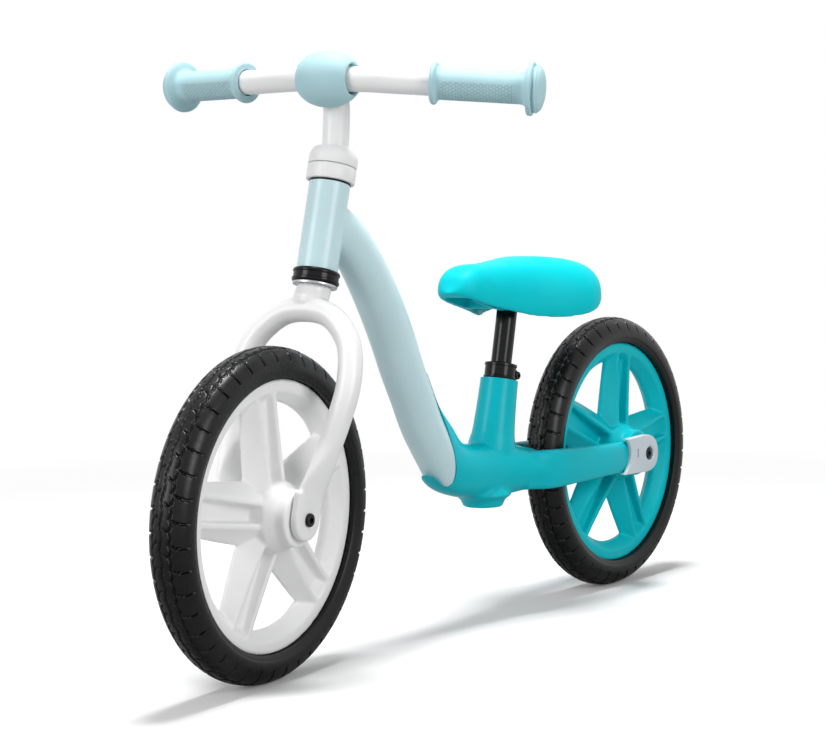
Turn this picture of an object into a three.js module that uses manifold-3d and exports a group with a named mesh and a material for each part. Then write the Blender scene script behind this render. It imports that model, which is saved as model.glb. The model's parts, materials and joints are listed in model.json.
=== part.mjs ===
// Children's balance bike with a two-part frame, a bent-tube fork, two moulded
// five-spoke wheels with solid foam tyres, and a saddle and handlebar that both
// slide in clamped tubes.
//
// Millimetres, +Z up, the front wheel towards -Y and the rider's left at +X. The
// origin is on the ground, midway between the two axles.

import * as THREE from 'three';
import { mergeVertices } from 'three/addons/utils/BufferGeometryUtils.js';
import Module from 'manifold-3d';

const wasm = await Module();
wasm.setup();

// ---------------------------------------------------------------------------
// Driving dimensions
// ---------------------------------------------------------------------------

// Fits
const SEAT_GAP = 0.3; // between pieces that rest on each other
const RUNNING_GAP = 0.35; // radial, between pieces that turn or slide

// Layout
const WHEELBASE = 578;
const STEERING_TILT_DEG = 14.5; // the steering axis leans back by this
const STEERING_REST_TURN_DEG = 6; // the bars stand turned to the rider's left
const FORK_OFFSET = 24.7; // axle ahead of the steering axis
const FORK_LENGTH = 221.8; // axle to the head tube's lower end, along the axis

// Tyres
const TYRE_RADIUS = 146;
const TYRE_WIDTH = 39.4;
const TYRE_SECTION_HEIGHT = 35;
const TYRE_BEAD_RADIUS = 118.8;
const TYRE_ROUNDNESS = 2.1; // exponent of the section's superellipse
const TYRE_CHANNEL_DEPTH = 6.2;
const TYRE_CHANNEL_WIDTH = 18.6;

// Rims
const RIM_WIDTH = 25;
const RIM_FACE_HEIGHT = 10.8;
const RIM_DRAFT = 9; // the inner wall slopes in by this to the centre plane
const RIM_CREST_WIDTH = 5;
const SPOKE_COUNT = 5;
const SPOKE_RIDGE_SPREAD_RIM = 26.5; // between the two ridges of a spoke
const SPOKE_RIDGE_SPREAD_HUB = 20.5;
const SPOKE_RIDGE_WIDTH = 3;
const SPOKE_RIDGE_RISE = 5.5; // the ridges stand this much prouder at the hub
const SPOKE_FLARE_RIM = 8; // flank spread from ridge to centre plane
const SPOKE_FLARE_HUB = 17;
const SPOKE_FLOOR = 4; // floor between the ridges, from the centre plane
const SPOKE_BACK = 5; // flat back, from the centre plane
const SPOKE_CORE = 3; // flat band on the centre plane
const FRONT_SPOKE_PHASE_DEG = 26;
const REAR_SPOKE_PHASE_DEG = 10;
const HUB_RADIUS = 30.5;
const HUB_BARREL_WIDTH = 44;
const HUB_NOSE_RADIUS = 24.5;
const HUB_WIDTH = 75;
const HUB_FILLET = 6;

// Axles and bearings
const AXLE_RADIUS = 5;
const AXLE_BORE_RADIUS = 3.4;
const BEARING_RADIUS = 11;
const BEARING_WIDTH = 7;
const BOLT_HEAD_RADIUS = 6.6;
const BOLT_HEAD_HEIGHT = 3.4;
const BOLT_SHANK_LENGTH = 16;
const BOLT_SOCKET_RADIUS = 3;
const BOLT_SOCKET_DEPTH = 2;

// Fork
const FORK_TUBE_RADIUS = 10.9;
const FORK_ARCH_HALF_WIDTH = 57.5; // to the tube's centre line
const FORK_CROWN_DROP = 37; // head tube's lower end to the arch's centre line
const FORK_NECK_RADIUS = 15.5;
const FORK_RAKE_START = 6; // the arch stands this far ahead at the crown
const DROPOUT_THICKNESS = 7;
const DROPOUT_RADIUS = 18.5;
const STEERER_RADIUS = 14.3;
const STEERER_BORE_RADIUS = 12.7;
const STEERER_STANDOUT = 31; // above the head tube

// Headset and collar
const HEAD_TUBE_RADIUS = 18.5;
const HEAD_TUBE_LENGTH = 78.6;
const HEAD_TUBE_BORE_RADIUS = 16.2;
const LOWER_CUP_RADIUS = 21.3;
const LOWER_CUP_HEIGHT = 12;
const CROWN_RACE_RADIUS = 20;
const CROWN_RACE_HEIGHT = 2.2;
const HEADSET_BEARING_RADIUS = 18;
const HEADSET_BEARING_HEIGHT = 7;
const UPPER_CUP_RADIUS = 18.9;
const UPPER_CUP_HEIGHT = 1.2;
const COLLAR_RADIUS = 22;
const COLLAR_RING_HEIGHT = 13.6;
const COLLAR_CLAMP_HEIGHT = 15.8;
const COLLAR_GROOVE = 0.8;
const COLLAR_SLIT = 2;

// Handlebar
const STEM_RADIUS = 12.1;
const STEM_WALL = 2;
const STEM_INSERTION = 84; // straight length below the collar's top
const BAR_RADIUS = 11.1;
const BAR_TURN_DEG = 4; // the bars stand turned this much further than the fork
const BAR_REACH = 30.4; // bar centre ahead of the steering axis
const BAR_RISE = 166.3; // bar centre above the head tube's lower end
const BAR_HALF_WIDTH = 190; // to the grip's outer end, across the bike
const BAR_SWEEP = 44; // the ends lie this far behind the bar's centre
const BAR_LIFT = 5; // the ends lie this far above the bar's centre
const PAD_RADIUS = 25;
const PAD_HALF_LENGTH = 31.5;
const PAD_MOUTH_RADIUS = 14.6;
const PAD_MOUTH_DEPTH = 7;

// Grips
const GRIP_LENGTH = 100;
const GRIP_RADIUS = 14;
const GRIP_INNER_FLANGE_RADIUS = 18.6;
const GRIP_END_FLANGE_RADIUS = 23.4;
const GRIP_FLANGE_THICKNESS = 5;
const GRIP_GROOVE = 1.8;
const GRIP_DOME_RADIUS = 21;
const GRIP_DOME_HEIGHT = 8.5;

// Down tube
const DOWN_TUBE_RADIUS = 20.6;

// Seat tube
const SEAT_TILT_DEG = 12.3;
const SEAT_TUBE_TOP_Z = 238;
const SEAT_TUBE_TOP_Y = 77.5;
const SEAT_TUBE_RADIUS = 19;
const SEAT_TUBE_FLARE = 5;
const SEAT_BORE_DEPTH = 112;
const SEAT_BOSS_RADIUS = 20.5;
const SEAT_BOSS_Y = 46.5;
const SEAT_BOSS_Z = 113.8;
const LINER_RADIUS = 12.9;
const LINER_STANDOUT = 17;
const SEAT_POST_RADIUS = 10.4;
const SEAT_POST_LENGTH = 168;
const SEAT_POST_WALL = 1.8;
const SEAT_CLAMP_RADIUS = 16.4;
const SEAT_CLAMP_HEIGHT = 16;
const SEAT_CLAMP_SLIT = 2.4;

// Rear frame
const STAY_HALF_HEIGHT = 18.8;
const STAY_END_HALF_HEIGHT = 15.8;
const STAY_THICKNESS = 15;
const TYRE_ROOM = 7; // clear of the rear tyre all round
const STAY_END_INNER_X = 39.5;
const STAY_END_THICKNESS = 9;
const STAY_END_RADIUS = 15;
const CAP_WALL = 1.6;
const CAP_LIP = 4; // how far the cap's rim reaches back over the stay
const CAP_THICKNESS = 3.6;
const CAP_HALF_HEIGHT = 19.2;
const CAP_REACH = 51; // front tips of the cap ahead of the axle
const CAP_HOLLOW = 9; // depth of its concave front edge
const CAP_TAIL = 17.5; // behind the axle

// Saddle
const SADDLE_LENGTH = 222;
const SADDLE_HALF_WIDTH = 67;
const SADDLE_NOSE_HALF_WIDTH = 24;
const SADDLE_TOP_Z = 361;
const SADDLE_SKIRT_Z = 299.5;
const SADDLE_NOSE_Y = -12;
const SADDLE_WALL = 7;
const SADDLE_FLOOR = 26; // foam above the base plate
const SADDLE_PLATE_Z = 327; // underside of the base plate
const SADDLE_RIB_SETBACK = 9; // ribs above the skirt's lowest place
const SADDLE_BASE_SETBACK = 8; // base inside the hollow's two ends
const SADDLE_RIB_SPACING = 17;
const SADDLE_RIB_THICKNESS = 3;

// Facets round a full turn
const FINE = 36;
const MEDIUM = 18;
const COARSE = 12;
const SMALL = 8;

// ---------------------------------------------------------------------------
// Materials
// ---------------------------------------------------------------------------

function finish(color, roughness, metalness = 0) {
  return new THREE.MeshStandardMaterial({ color, roughness, metalness });
}

const FINISHES = {
  paleBluePaint: () => finish(0xc3e3ea, 0.38),
  turquoisePaint: () => finish(0x00c8d4, 0.36),
  whitePaint: () => finish(0xf1f2f2, 0.34),
  whitePlastic: () => finish(0xeeefef, 0.5),
  turquoisePlastic: () => finish(0x06c4d0, 0.46),
  paleGreyPlastic: () => finish(0xd9dfe2, 0.48),
  paleBlueRubber: () => finish(0xa9d3dc, 0.7),
  turquoiseFoam: () => finish(0x05d9e4, 0.55),
  tyreFoam: () => finish(0x17181a, 0.78),
  blackPaint: () => finish(0x121315, 0.25),
  blackSteel: () => finish(0x1b1c1f, 0.35, 0.8),
  brightSteel: () => finish(0xb9bcc0, 0.3, 1),
};

// ---------------------------------------------------------------------------
// Solids
// ---------------------------------------------------------------------------

const rad = THREE.MathUtils.degToRad;

// The geometry with shared vertices, without degenerate triangles, facing out.
function tidied(geometry) {
  const bare = new THREE.BufferGeometry();
  bare.setAttribute('position', geometry.getAttribute('position').clone());
  if (geometry.index) bare.setIndex(geometry.index.clone());
  const merged = mergeVertices(bare, 1e-4);
  const index = merged.index.array;
  const kept = [];
  for (let i = 0; i < index.length; i += 3) {
    const [a, b, c] = [index[i], index[i + 1], index[i + 2]];
    if (a !== b && b !== c && c !== a) kept.push(a, b, c);
  }
  merged.setIndex(kept);
  return signedVolume(merged) < 0 ? turnedOut(merged) : merged;
}

function signedVolume(geometry) {
  const position = geometry.getAttribute('position');
  const index = geometry.index.array;
  const [a, b, c] = [new THREE.Vector3(), new THREE.Vector3(), new THREE.Vector3()];
  let sum = 0;
  for (let i = 0; i < index.length; i += 3) {
    a.fromBufferAttribute(position, index[i]);
    b.fromBufferAttribute(position, index[i + 1]);
    c.fromBufferAttribute(position, index[i + 2]);
    sum += a.dot(b.cross(c)) / 6;
  }
  return sum;
}

function turnedOut(geometry) {
  const index = Array.from(geometry.index.array);
  for (let i = 0; i < index.length; i += 3) {
    [index[i + 1], index[i + 2]] = [index[i + 2], index[i + 1]];
  }
  geometry.setIndex(index);
  return geometry;
}

function solid(geometry) {
  const clean = tidied(geometry);
  return new wasm.Manifold(
    new wasm.Mesh({
      numProp: 3,
      vertProperties: Float32Array.from(clean.getAttribute('position').array),
      triVerts: Uint32Array.from(clean.index.array),
    }),
  );
}

function union(...geometries) {
  return fromSolid(geometries.map(solid).reduce((whole, next) => whole.add(next)));
}

function cut(geometry, ...tools) {
  return fromSolid(tools.map(solid).reduce((whole, tool) => whole.subtract(tool), solid(geometry)));
}

function common(geometry, tool) {
  return fromSolid(solid(geometry).intersect(solid(tool)));
}

function fromSolid(manifold) {
  const mesh = manifold.getMesh();
  const geometry = new THREE.BufferGeometry();
  geometry.setAttribute('position', new THREE.BufferAttribute(mesh.vertProperties, 3));
  geometry.setIndex(new THREE.BufferAttribute(mesh.triVerts, 1));
  return geometry;
}

function moved(geometry, x, y, z) {
  return geometry.clone().translate(x, y, z);
}

// A solid of revolution about Z from [radius, height] pairs. The profile closes on
// itself, or starts and ends on the axis.
function revolveZ(profile, segments = MEDIUM) {
  const points = profile.map(([radius, height]) => new THREE.Vector2(radius, height));
  const onAxis = profile[0][0] === 0 && profile[profile.length - 1][0] === 0;
  if (!onAxis) points.push(points[0].clone());
  return new THREE.LatheGeometry(points, segments).rotateX(Math.PI / 2);
}

// The same about X, where the second number of each pair is the place along X.
function revolveX(profile, segments = MEDIUM) {
  return revolveZ(profile, segments).rotateY(Math.PI / 2);
}

function rod(radius, low, high, segments = MEDIUM) {
  return revolveZ([[0, low], [radius, low], [radius, high], [0, high]], segments);
}

function rodX(radius, low, high, segments = MEDIUM) {
  return revolveX([[0, low], [radius, low], [radius, high], [0, high]], segments);
}

function ring(inner, outer, low, high, segments = MEDIUM) {
  return revolveZ([[inner, low], [outer, low], [outer, high], [inner, high]], segments);
}

function ringX(inner, outer, low, high, segments = MEDIUM) {
  return revolveX([[inner, low], [outer, low], [outer, high], [inner, high]], segments);
}

function block(lowX, highX, lowY, highY, lowZ, highZ) {
  const size = [highX - lowX, highY - lowY, highZ - lowZ];
  const centre = [(lowX + highX) / 2, (lowY + highY) / 2, (lowZ + highZ) / 2];
  return new THREE.BoxGeometry(...size).translate(...centre);
}

// A flat outline of [y, z] points, given thickness from lowX to highX.
function plateX(outline, lowX, highX) {
  const shape = outline instanceof THREE.Shape ? outline : shapeOf(outline);
  const flat = new THREE.ExtrudeGeometry(shape, {
    depth: highX - lowX,
    bevelEnabled: false,
    curveSegments: SMALL,
  });
  const basis = new THREE.Matrix4().makeBasis(
    new THREE.Vector3(0, 1, 0),
    new THREE.Vector3(0, 0, 1),
    new THREE.Vector3(1, 0, 0),
  );
  return flat.applyMatrix4(basis).translate(lowX, 0, 0);
}

function shapeOf(points) {
  return new THREE.Shape(points.map(([a, b]) => new THREE.Vector2(a, b)));
}

// A round bar along a curve.
function sweep(curve, radius, steps, segments) {
  const circle = new THREE.Shape();
  circle.absarc(0, 0, radius, 0, Math.PI * 2);
  return new THREE.ExtrudeGeometry(circle, {
    extrudePath: curve,
    steps,
    curveSegments: segments,
    bevelEnabled: false,
  });
}

function smoothCurve(points) {
  return new THREE.CatmullRomCurve3(points.map((point) => new THREE.Vector3(...point)));
}

// A skin over rings of equal point count, closed by a flat face at each end. Each
// station holds its outline in its own plane and the matrix that places it.
function loft(stations) {
  const count = stations[0].outline.length;
  const positions = [];
  for (const { outline, matrix } of stations) {
    for (const point of outline) {
      positions.push(...new THREE.Vector3(point.x, point.y, 0).applyMatrix4(matrix));
    }
  }
  const index = [];
  for (let s = 0; s < stations.length - 1; s += 1) {
    for (let i = 0; i < count; i += 1) {
      const j = (i + 1) % count;
      const [a, b] = [s * count + i, s * count + j];
      index.push(a, b, b + count, a, b + count, a + count);
    }
  }
  const last = (stations.length - 1) * count;
  for (const [a, b, c] of THREE.ShapeUtils.triangulateShape(stations[0].outline, [])) {
    index.push(a, c, b);
  }
  for (const [a, b, c] of THREE.ShapeUtils.triangulateShape(stations.at(-1).outline, [])) {
    index.push(last + a, last + b, last + c);
  }
  const geometry = new THREE.BufferGeometry();
  geometry.setAttribute('position', new THREE.Float32BufferAttribute(positions, 3));
  geometry.setIndex(index);
  return geometry;
}

// A rounded box outline with half sizes a and b. The exponent is 2 for an ellipse.
function superellipse(a, b, exponent, segments) {
  const points = [];
  for (let i = 0; i < segments; i += 1) {
    const angle = (i / segments) * Math.PI * 2;
    const [c, s] = [Math.cos(angle), Math.sin(angle)];
    const x = a * Math.sign(c) * Math.abs(c) ** (2 / exponent);
    const y = b * Math.sign(s) * Math.abs(s) ** (2 / exponent);
    points.push(new THREE.Vector2(x, y));
  }
  return points;
}

// A station across Y at y: the outline's first axis is X and its second is Z.
function stationY(outline, y, x = 0, z = 0) {
  const matrix = new THREE.Matrix4().makeBasis(
    new THREE.Vector3(1, 0, 0),
    new THREE.Vector3(0, 0, 1),
    new THREE.Vector3(0, -1, 0),
  );
  matrix.setPosition(x, y, z);
  return { outline, matrix };
}

// A value read from [place, value] pairs, smooth between them.
function profileAt(pairs, place) {
  const last = pairs.length - 1;
  if (place <= pairs[0][0]) return pairs[0][1];
  if (place >= pairs[last][0]) return pairs[last][1];
  const i = pairs.findIndex(([p]) => p > place) - 1;
  const [[p0, v0], [p1, v1]] = [pairs[i], pairs[i + 1]];
  const slope = (k) => {
    if (k <= 0 || k >= last) return 0;
    return (pairs[k + 1][1] - pairs[k - 1][1]) / (pairs[k + 1][0] - pairs[k - 1][0]);
  };
  const span = p1 - p0;
  const t = (place - p0) / span;
  const [h00, h10] = [2 * t ** 3 - 3 * t ** 2 + 1, t ** 3 - 2 * t ** 2 + t];
  const [h01, h11] = [3 * t ** 2 - 2 * t ** 3, t ** 3 - t ** 2];
  return h00 * v0 + h10 * span * slope(i) + h01 * v1 + h11 * span * slope(i + 1);
}

const bike = new THREE.Group();

function add(parent, name, geometry, material) {
  const clean = tidied(geometry);
  clean.computeVertexNormals();
  const mesh = new THREE.Mesh(clean, material());
  mesh.name = name;
  parent.add(mesh);
  return mesh;
}

// ---------------------------------------------------------------------------
// Places
// ---------------------------------------------------------------------------

const tilt = rad(STEERING_TILT_DEG);
const FRONT_AXLE = new THREE.Vector3(0, -WHEELBASE / 2, TYRE_RADIUS);
const REAR_AXLE = new THREE.Vector3(0, WHEELBASE / 2, TYRE_RADIUS);
const STEERING_UP = new THREE.Vector3(0, Math.sin(tilt), Math.cos(tilt));
const STEERING_BACK = new THREE.Vector3(0, Math.cos(tilt), -Math.sin(tilt));
const HEAD_BASE = FRONT_AXLE.clone()
  .addScaledVector(STEERING_BACK, FORK_OFFSET)
  .addScaledVector(STEERING_UP, FORK_LENGTH);
const RACE_TOP = -LOWER_CUP_HEIGHT - SEAT_GAP * 2;
const CROWN_TOP = RACE_TOP - CROWN_RACE_HEIGHT - SEAT_GAP;
const COLLAR_BASE = HEAD_TUBE_LENGTH + UPPER_CUP_HEIGHT + SEAT_GAP * 2;
const CLAMP_BASE = COLLAR_BASE + COLLAR_RING_HEIGHT + COLLAR_GROOVE;
const CLAMP_TOP = CLAMP_BASE + COLLAR_CLAMP_HEIGHT;
const HUB_HALF = HUB_WIDTH / 2;

// Frame of the head tube: Z is the steering axis, the origin its lower end.
const head = new THREE.Group();
head.position.copy(HEAD_BASE);
head.rotation.x = -tilt;
bike.add(head);

// What turns with the bars.
const steered = new THREE.Group();
steered.rotation.z = rad(STEERING_REST_TURN_DEG);
head.add(steered);

const frontWheel = new THREE.Group();
frontWheel.position.set(0, -FORK_OFFSET, -FORK_LENGTH);
frontWheel.rotation.x = tilt;
steered.add(frontWheel);

const rearWheel = new THREE.Group();
rearWheel.position.copy(REAR_AXLE);
bike.add(rearWheel);

// Frame of the seat tube: Z is its axis, the origin the centre of its upper mouth.
const seat = new THREE.Group();
seat.position.set(0, SEAT_TUBE_TOP_Y, SEAT_TUBE_TOP_Z);
seat.rotation.x = -rad(SEAT_TILT_DEG);
bike.add(seat);

function intoWorld(geometry, group) {
  group.updateWorldMatrix(true, false);
  return geometry.clone().applyMatrix4(group.matrixWorld);
}

// ---------------------------------------------------------------------------
// Wheels
// ---------------------------------------------------------------------------

function tyreGeometry() {
  const steps = 4;
  const centre = TYRE_RADIUS - TYRE_SECTION_HEIGHT / 2;
  const half = TYRE_SECTION_HEIGHT / 2;
  const side = [];
  const depth = (centre - TYRE_BEAD_RADIUS) / half;
  const beadAngle = -Math.asin(depth ** (TYRE_ROUNDNESS / 2));
  for (let i = 0; i <= steps; i += 1) {
    const angle = Math.PI / 2 + (beadAngle - Math.PI / 2) * (i / steps);
    const [c, s] = [Math.cos(angle), Math.sin(angle)];
    const x = (TYRE_WIDTH / 2) * Math.abs(c) ** (2 / TYRE_ROUNDNESS);
    const r = centre + half * Math.sign(s) * Math.abs(s) ** (2 / TYRE_ROUNDNESS);
    side.push([r, x]);
  }
  const channel = TYRE_CHANNEL_WIDTH / 2;
  side.push([TYRE_BEAD_RADIUS, channel]);
  side.push([TYRE_BEAD_RADIUS - TYRE_CHANNEL_DEPTH, channel]);
  const mirror = side.slice(1).reverse().map(([r, x]) => [r, -x]);
  return revolveX([...mirror, ...side], FINE);
}

function rimRingGeometry() {
  const flange = TYRE_BEAD_RADIUS - SEAT_GAP;
  const floor = flange - TYRE_CHANNEL_DEPTH;
  const channel = TYRE_CHANNEL_WIDTH / 2 + SEAT_GAP;
  const edge = RIM_WIDTH / 2;
  const crest = RIM_CREST_WIDTH / 2;
  const face = flange - RIM_FACE_HEIGHT;
  const half = [
    [floor, channel],
    [flange, channel],
    [flange, edge],
    [face, edge],
    [face - RIM_DRAFT, crest],
  ];
  const mirror = half.map(([r, x]) => [r, -x]).reverse();
  return revolveX([...mirror, ...half], FINE);
}

// A spoke along +Y: two ridges on the left face with a floor between them, flanks
// that flare to the centre plane, and a flat back.
function spokeGeometry() {
  const rimEnd = TYRE_BEAD_RADIUS - RIM_FACE_HEIGHT + 1;
  const hubEnd = HUB_RADIUS - 8;
  const steps = 2;
  const stations = [];
  for (let i = 0; i <= steps; i += 1) {
    const t = i / steps;
    const spread = THREE.MathUtils.lerp(SPOKE_RIDGE_SPREAD_HUB, SPOKE_RIDGE_SPREAD_RIM, t) / 2;
    const flare = THREE.MathUtils.lerp(SPOKE_FLARE_HUB, SPOKE_FLARE_RIM, t ** 1.5);
    const ridge = RIM_WIDTH / 2 - SEAT_GAP + SPOKE_RIDGE_RISE * (1 - t) ** 1.6;
    const core = SPOKE_CORE / 2;
    const inner = spread - SPOKE_RIDGE_WIDTH;
    const front = [
      [spread + flare, core],
      [spread + 1, ridge],
      [inner, ridge],
      [inner - 1.5, SPOKE_FLOOR],
    ];
    const back = [
      [spread + flare, -core],
      [spread + 1, -SPOKE_BACK],
    ];
    const outline = [
      ...front,
      ...front.map(([a, b]) => [-a, b]).reverse(),
      ...back.map(([a, b]) => [-a, b]),
      ...back.reverse(),
    ].map(([a, b]) => new THREE.Vector2(a, b));
    const matrix = new THREE.Matrix4().makeBasis(
      new THREE.Vector3(0, 0, 1),
      new THREE.Vector3(1, 0, 0),
      new THREE.Vector3(0, 1, 0),
    );
    matrix.setPosition(0, THREE.MathUtils.lerp(hubEnd, rimEnd, t), 0);
    stations.push({ outline, matrix });
  }
  return loft(stations);
}

function hubGeometry() {
  const barrel = HUB_BARREL_WIDTH / 2;
  const half = [
    [HUB_RADIUS, barrel - HUB_FILLET / 2],
    [HUB_NOSE_RADIUS + 2, barrel + HUB_FILLET / 2],
    [HUB_NOSE_RADIUS, barrel + HUB_FILLET],
    [HUB_NOSE_RADIUS, HUB_HALF - 1],
    [HUB_NOSE_RADIUS - 1, HUB_HALF],
    [0, HUB_HALF],
  ];
  const mirror = half.map(([r, x]) => [r, -x]).reverse();
  return revolveX([...mirror, ...half], MEDIUM);
}

function rimGeometry(phaseDeg) {
  const spokes = [];
  for (let i = 0; i < SPOKE_COUNT; i += 1) {
    const angle = rad(phaseDeg) + (i / SPOKE_COUNT) * Math.PI * 2;
    spokes.push(spokeGeometry().rotateX(angle));
  }
  const whole = union(rimRingGeometry(), hubGeometry(), ...spokes);
  const pocket = BEARING_WIDTH + SEAT_GAP;
  const bore = BEARING_RADIUS + SEAT_GAP;
  return cut(
    whole,
    rodX(AXLE_RADIUS + 2, -HUB_HALF - 1, HUB_HALF + 1, COARSE),
    rodX(bore, HUB_HALF - pocket, HUB_HALF + 1),
    rodX(bore, -HUB_HALF - 1, -HUB_HALF + pocket),
  );
}

// Hub parts along the axle, from the wheel outwards. The dropout's inner face lies
// at innerX and its outer face at outerX.
function addWheel(group, prefix, phaseDeg, rimFinish, innerX, outerX) {
  add(group, `${prefix}_tyre`, tyreGeometry(), FINISHES.tyreFoam);
  add(group, `${prefix}_rim`, rimGeometry(phaseDeg), rimFinish);
  const bearingBore = AXLE_RADIUS + RUNNING_GAP;
  for (const [side, name] of [[1, 'left'], [-1, 'right']]) {
    const low = HUB_HALF - BEARING_WIDTH;
    const bearing = ringX(bearingBore, BEARING_RADIUS, low, HUB_HALF, COARSE);
    const spacer = ringX(bearingBore, AXLE_RADIUS + 4, HUB_HALF + SEAT_GAP, innerX - SEAT_GAP, COARSE);
    const turned = side > 0 ? 0 : Math.PI;
    add(group, `${prefix}_bearing_${name}`, bearing.rotateZ(turned), FINISHES.brightSteel);
    add(group, `${prefix}_spacer_${name}`, spacer.rotateZ(turned), FINISHES.blackSteel);
    const bolt = boltGeometry(outerX + SEAT_GAP).rotateZ(turned);
    add(group, `${prefix}_axle_bolt_${name}`, bolt, FINISHES.blackSteel);
  }
  const axle = ringX(AXLE_BORE_RADIUS, AXLE_RADIUS, -outerX, outerX, COARSE);
  add(group, `${prefix}_axle`, axle, FINISHES.brightSteel);
}

// A socket-head bolt on X. Its head seats at the given place and its shank points
// back towards the wheel.
function boltGeometry(seatX) {
  const top = seatX + BOLT_HEAD_HEIGHT;
  const head_ = revolveX(
    [
      [0, seatX - BOLT_SHANK_LENGTH],
      [AXLE_BORE_RADIUS - RUNNING_GAP, seatX - BOLT_SHANK_LENGTH],
      [AXLE_BORE_RADIUS - RUNNING_GAP, seatX],
      [BOLT_HEAD_RADIUS, seatX],
      [BOLT_HEAD_RADIUS, top - 1],
      [BOLT_HEAD_RADIUS - 1, top],
      [0, top],
    ],
    COARSE + 4,
  );
  return cut(head_, rodX(BOLT_SOCKET_RADIUS, top - BOLT_SOCKET_DEPTH, top + 1, 6));
}

// ---------------------------------------------------------------------------
// Fork and headset
// ---------------------------------------------------------------------------

const DROPOUT_X = HUB_HALF + 1.3 + DROPOUT_THICKNESS / 2;

// Centre line of the left half of the fork, from the crown to the dropout.
function forkCentreLine() {
  const wide = FORK_ARCH_HALF_WIDTH;
  const top = -FORK_CROWN_DROP;
  const run = FORK_LENGTH - FORK_CROWN_DROP;
  const forward = (share) => -THREE.MathUtils.lerp(FORK_RAKE_START, FORK_OFFSET, share ** 1.15);
  const at = (x, share) => new THREE.Vector3(x, forward(share), top - share * run);
  return [
    at(0, 0),
    at(wide * 0.4, 0.02),
    at(wide * 0.7, 0.09),
    at(wide * 0.88, 0.17),
    at(wide * 0.97, 0.27),
    at(wide, 0.38),
    at(wide * 0.955, 0.52),
    at(wide * 0.88, 0.66),
    at(THREE.MathUtils.lerp(DROPOUT_X, wide, 0.3), 0.78),
    at(THREE.MathUtils.lerp(DROPOUT_X, wide, 0.05), 0.88),
    at(DROPOUT_X, 0.95),
  ];
}

// The tube stays round to here and is pressed flat from there to the dropout.
const FLATTEN_START = 0.62;
const FLATTEN_END = 0.88;

function forkArchGeometry() {
  const half = forkCentreLine();
  const right = half.slice(1).reverse().map((p) => new THREE.Vector3(-p.x, p.y, p.z));
  const curve = new THREE.CatmullRomCurve3([...right, ...half]);
  const steps = 26;
  const stations = [];
  const forward = new THREE.Vector3(0, -1, 0);
  for (let i = 0; i <= steps; i += 1) {
    const point = curve.getPointAt(i / steps);
    const along = curve.getTangentAt(i / steps);
    const across = new THREE.Vector3().crossVectors(forward, along).normalize();
    const front = new THREE.Vector3().crossVectors(along, across).normalize();
    const drop = (-FORK_CROWN_DROP - point.z) / (FORK_LENGTH - FORK_CROWN_DROP);
    const flat = THREE.MathUtils.smoothstep(drop, FLATTEN_START, FLATTEN_END);
    const thin = THREE.MathUtils.lerp(FORK_TUBE_RADIUS, DROPOUT_THICKNESS / 2, flat);
    const broad = THREE.MathUtils.lerp(FORK_TUBE_RADIUS, DROPOUT_RADIUS, flat);
    const outline = superellipse(thin, broad, 2 + flat, COARSE);
    const matrix = new THREE.Matrix4().makeBasis(across, front, along);
    matrix.setPosition(point);
    stations.push({ outline, matrix });
  }
  return loft(stations);
}

// The neck leans from the crown race to the top of the arch and spreads onto it.
function forkNeckGeometry() {
  const low = -FORK_CROWN_DROP;
  const stations = [];
  for (const [share, radius, lean] of [[0, 1.28, 1], [0.22, 1.14, 0.85], [0.5, 1.04, 0.5], [0.8, 1, 0.15], [1, 1, 0]]) {
    const z = THREE.MathUtils.lerp(low, CROWN_TOP, share);
    const outline = superellipse(FORK_NECK_RADIUS * radius, FORK_NECK_RADIUS, 2, MEDIUM);
    const matrix = new THREE.Matrix4().setPosition(0, -FORK_RAKE_START * lean, z);
    stations.push({ outline, matrix });
  }
  stations[0].outline = superellipse(FORK_NECK_RADIUS * 1.28, FORK_TUBE_RADIUS * 0.8, 2, MEDIUM);
  stations[1].outline = superellipse(FORK_NECK_RADIUS * 1.14, FORK_TUBE_RADIUS * 1.15, 2, MEDIUM);
  return loft(stations);
}

function forkGeometry() {
  const dropouts = [];
  for (const x of [DROPOUT_X, -DROPOUT_X]) {
    const outline = new THREE.Shape();
    const top = -FORK_LENGTH + DROPOUT_RADIUS * 1.2;
    outline.moveTo(-FORK_OFFSET + DROPOUT_RADIUS, top);
    outline.lineTo(-FORK_OFFSET - DROPOUT_RADIUS, top);
    outline.absarc(-FORK_OFFSET, -FORK_LENGTH, DROPOUT_RADIUS, Math.PI, Math.PI * 2);
    const half = DROPOUT_THICKNESS / 2;
    dropouts.push(plateX(outline, x - half, x + half));
  }
  const steererTop = HEAD_TUBE_LENGTH + STEERER_STANDOUT;
  const steerer = rod(STEERER_RADIUS, CROWN_TOP - 8, steererTop);
  return cut(
    union(forkArchGeometry(), forkNeckGeometry(), steerer, ...dropouts),
    rod(STEERER_BORE_RADIUS, CROWN_TOP - 6, steererTop + 1),
    moved(rodX(AXLE_RADIUS + SEAT_GAP, -80, 80, COARSE), 0, -FORK_OFFSET, -FORK_LENGTH),
  );
}

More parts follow.
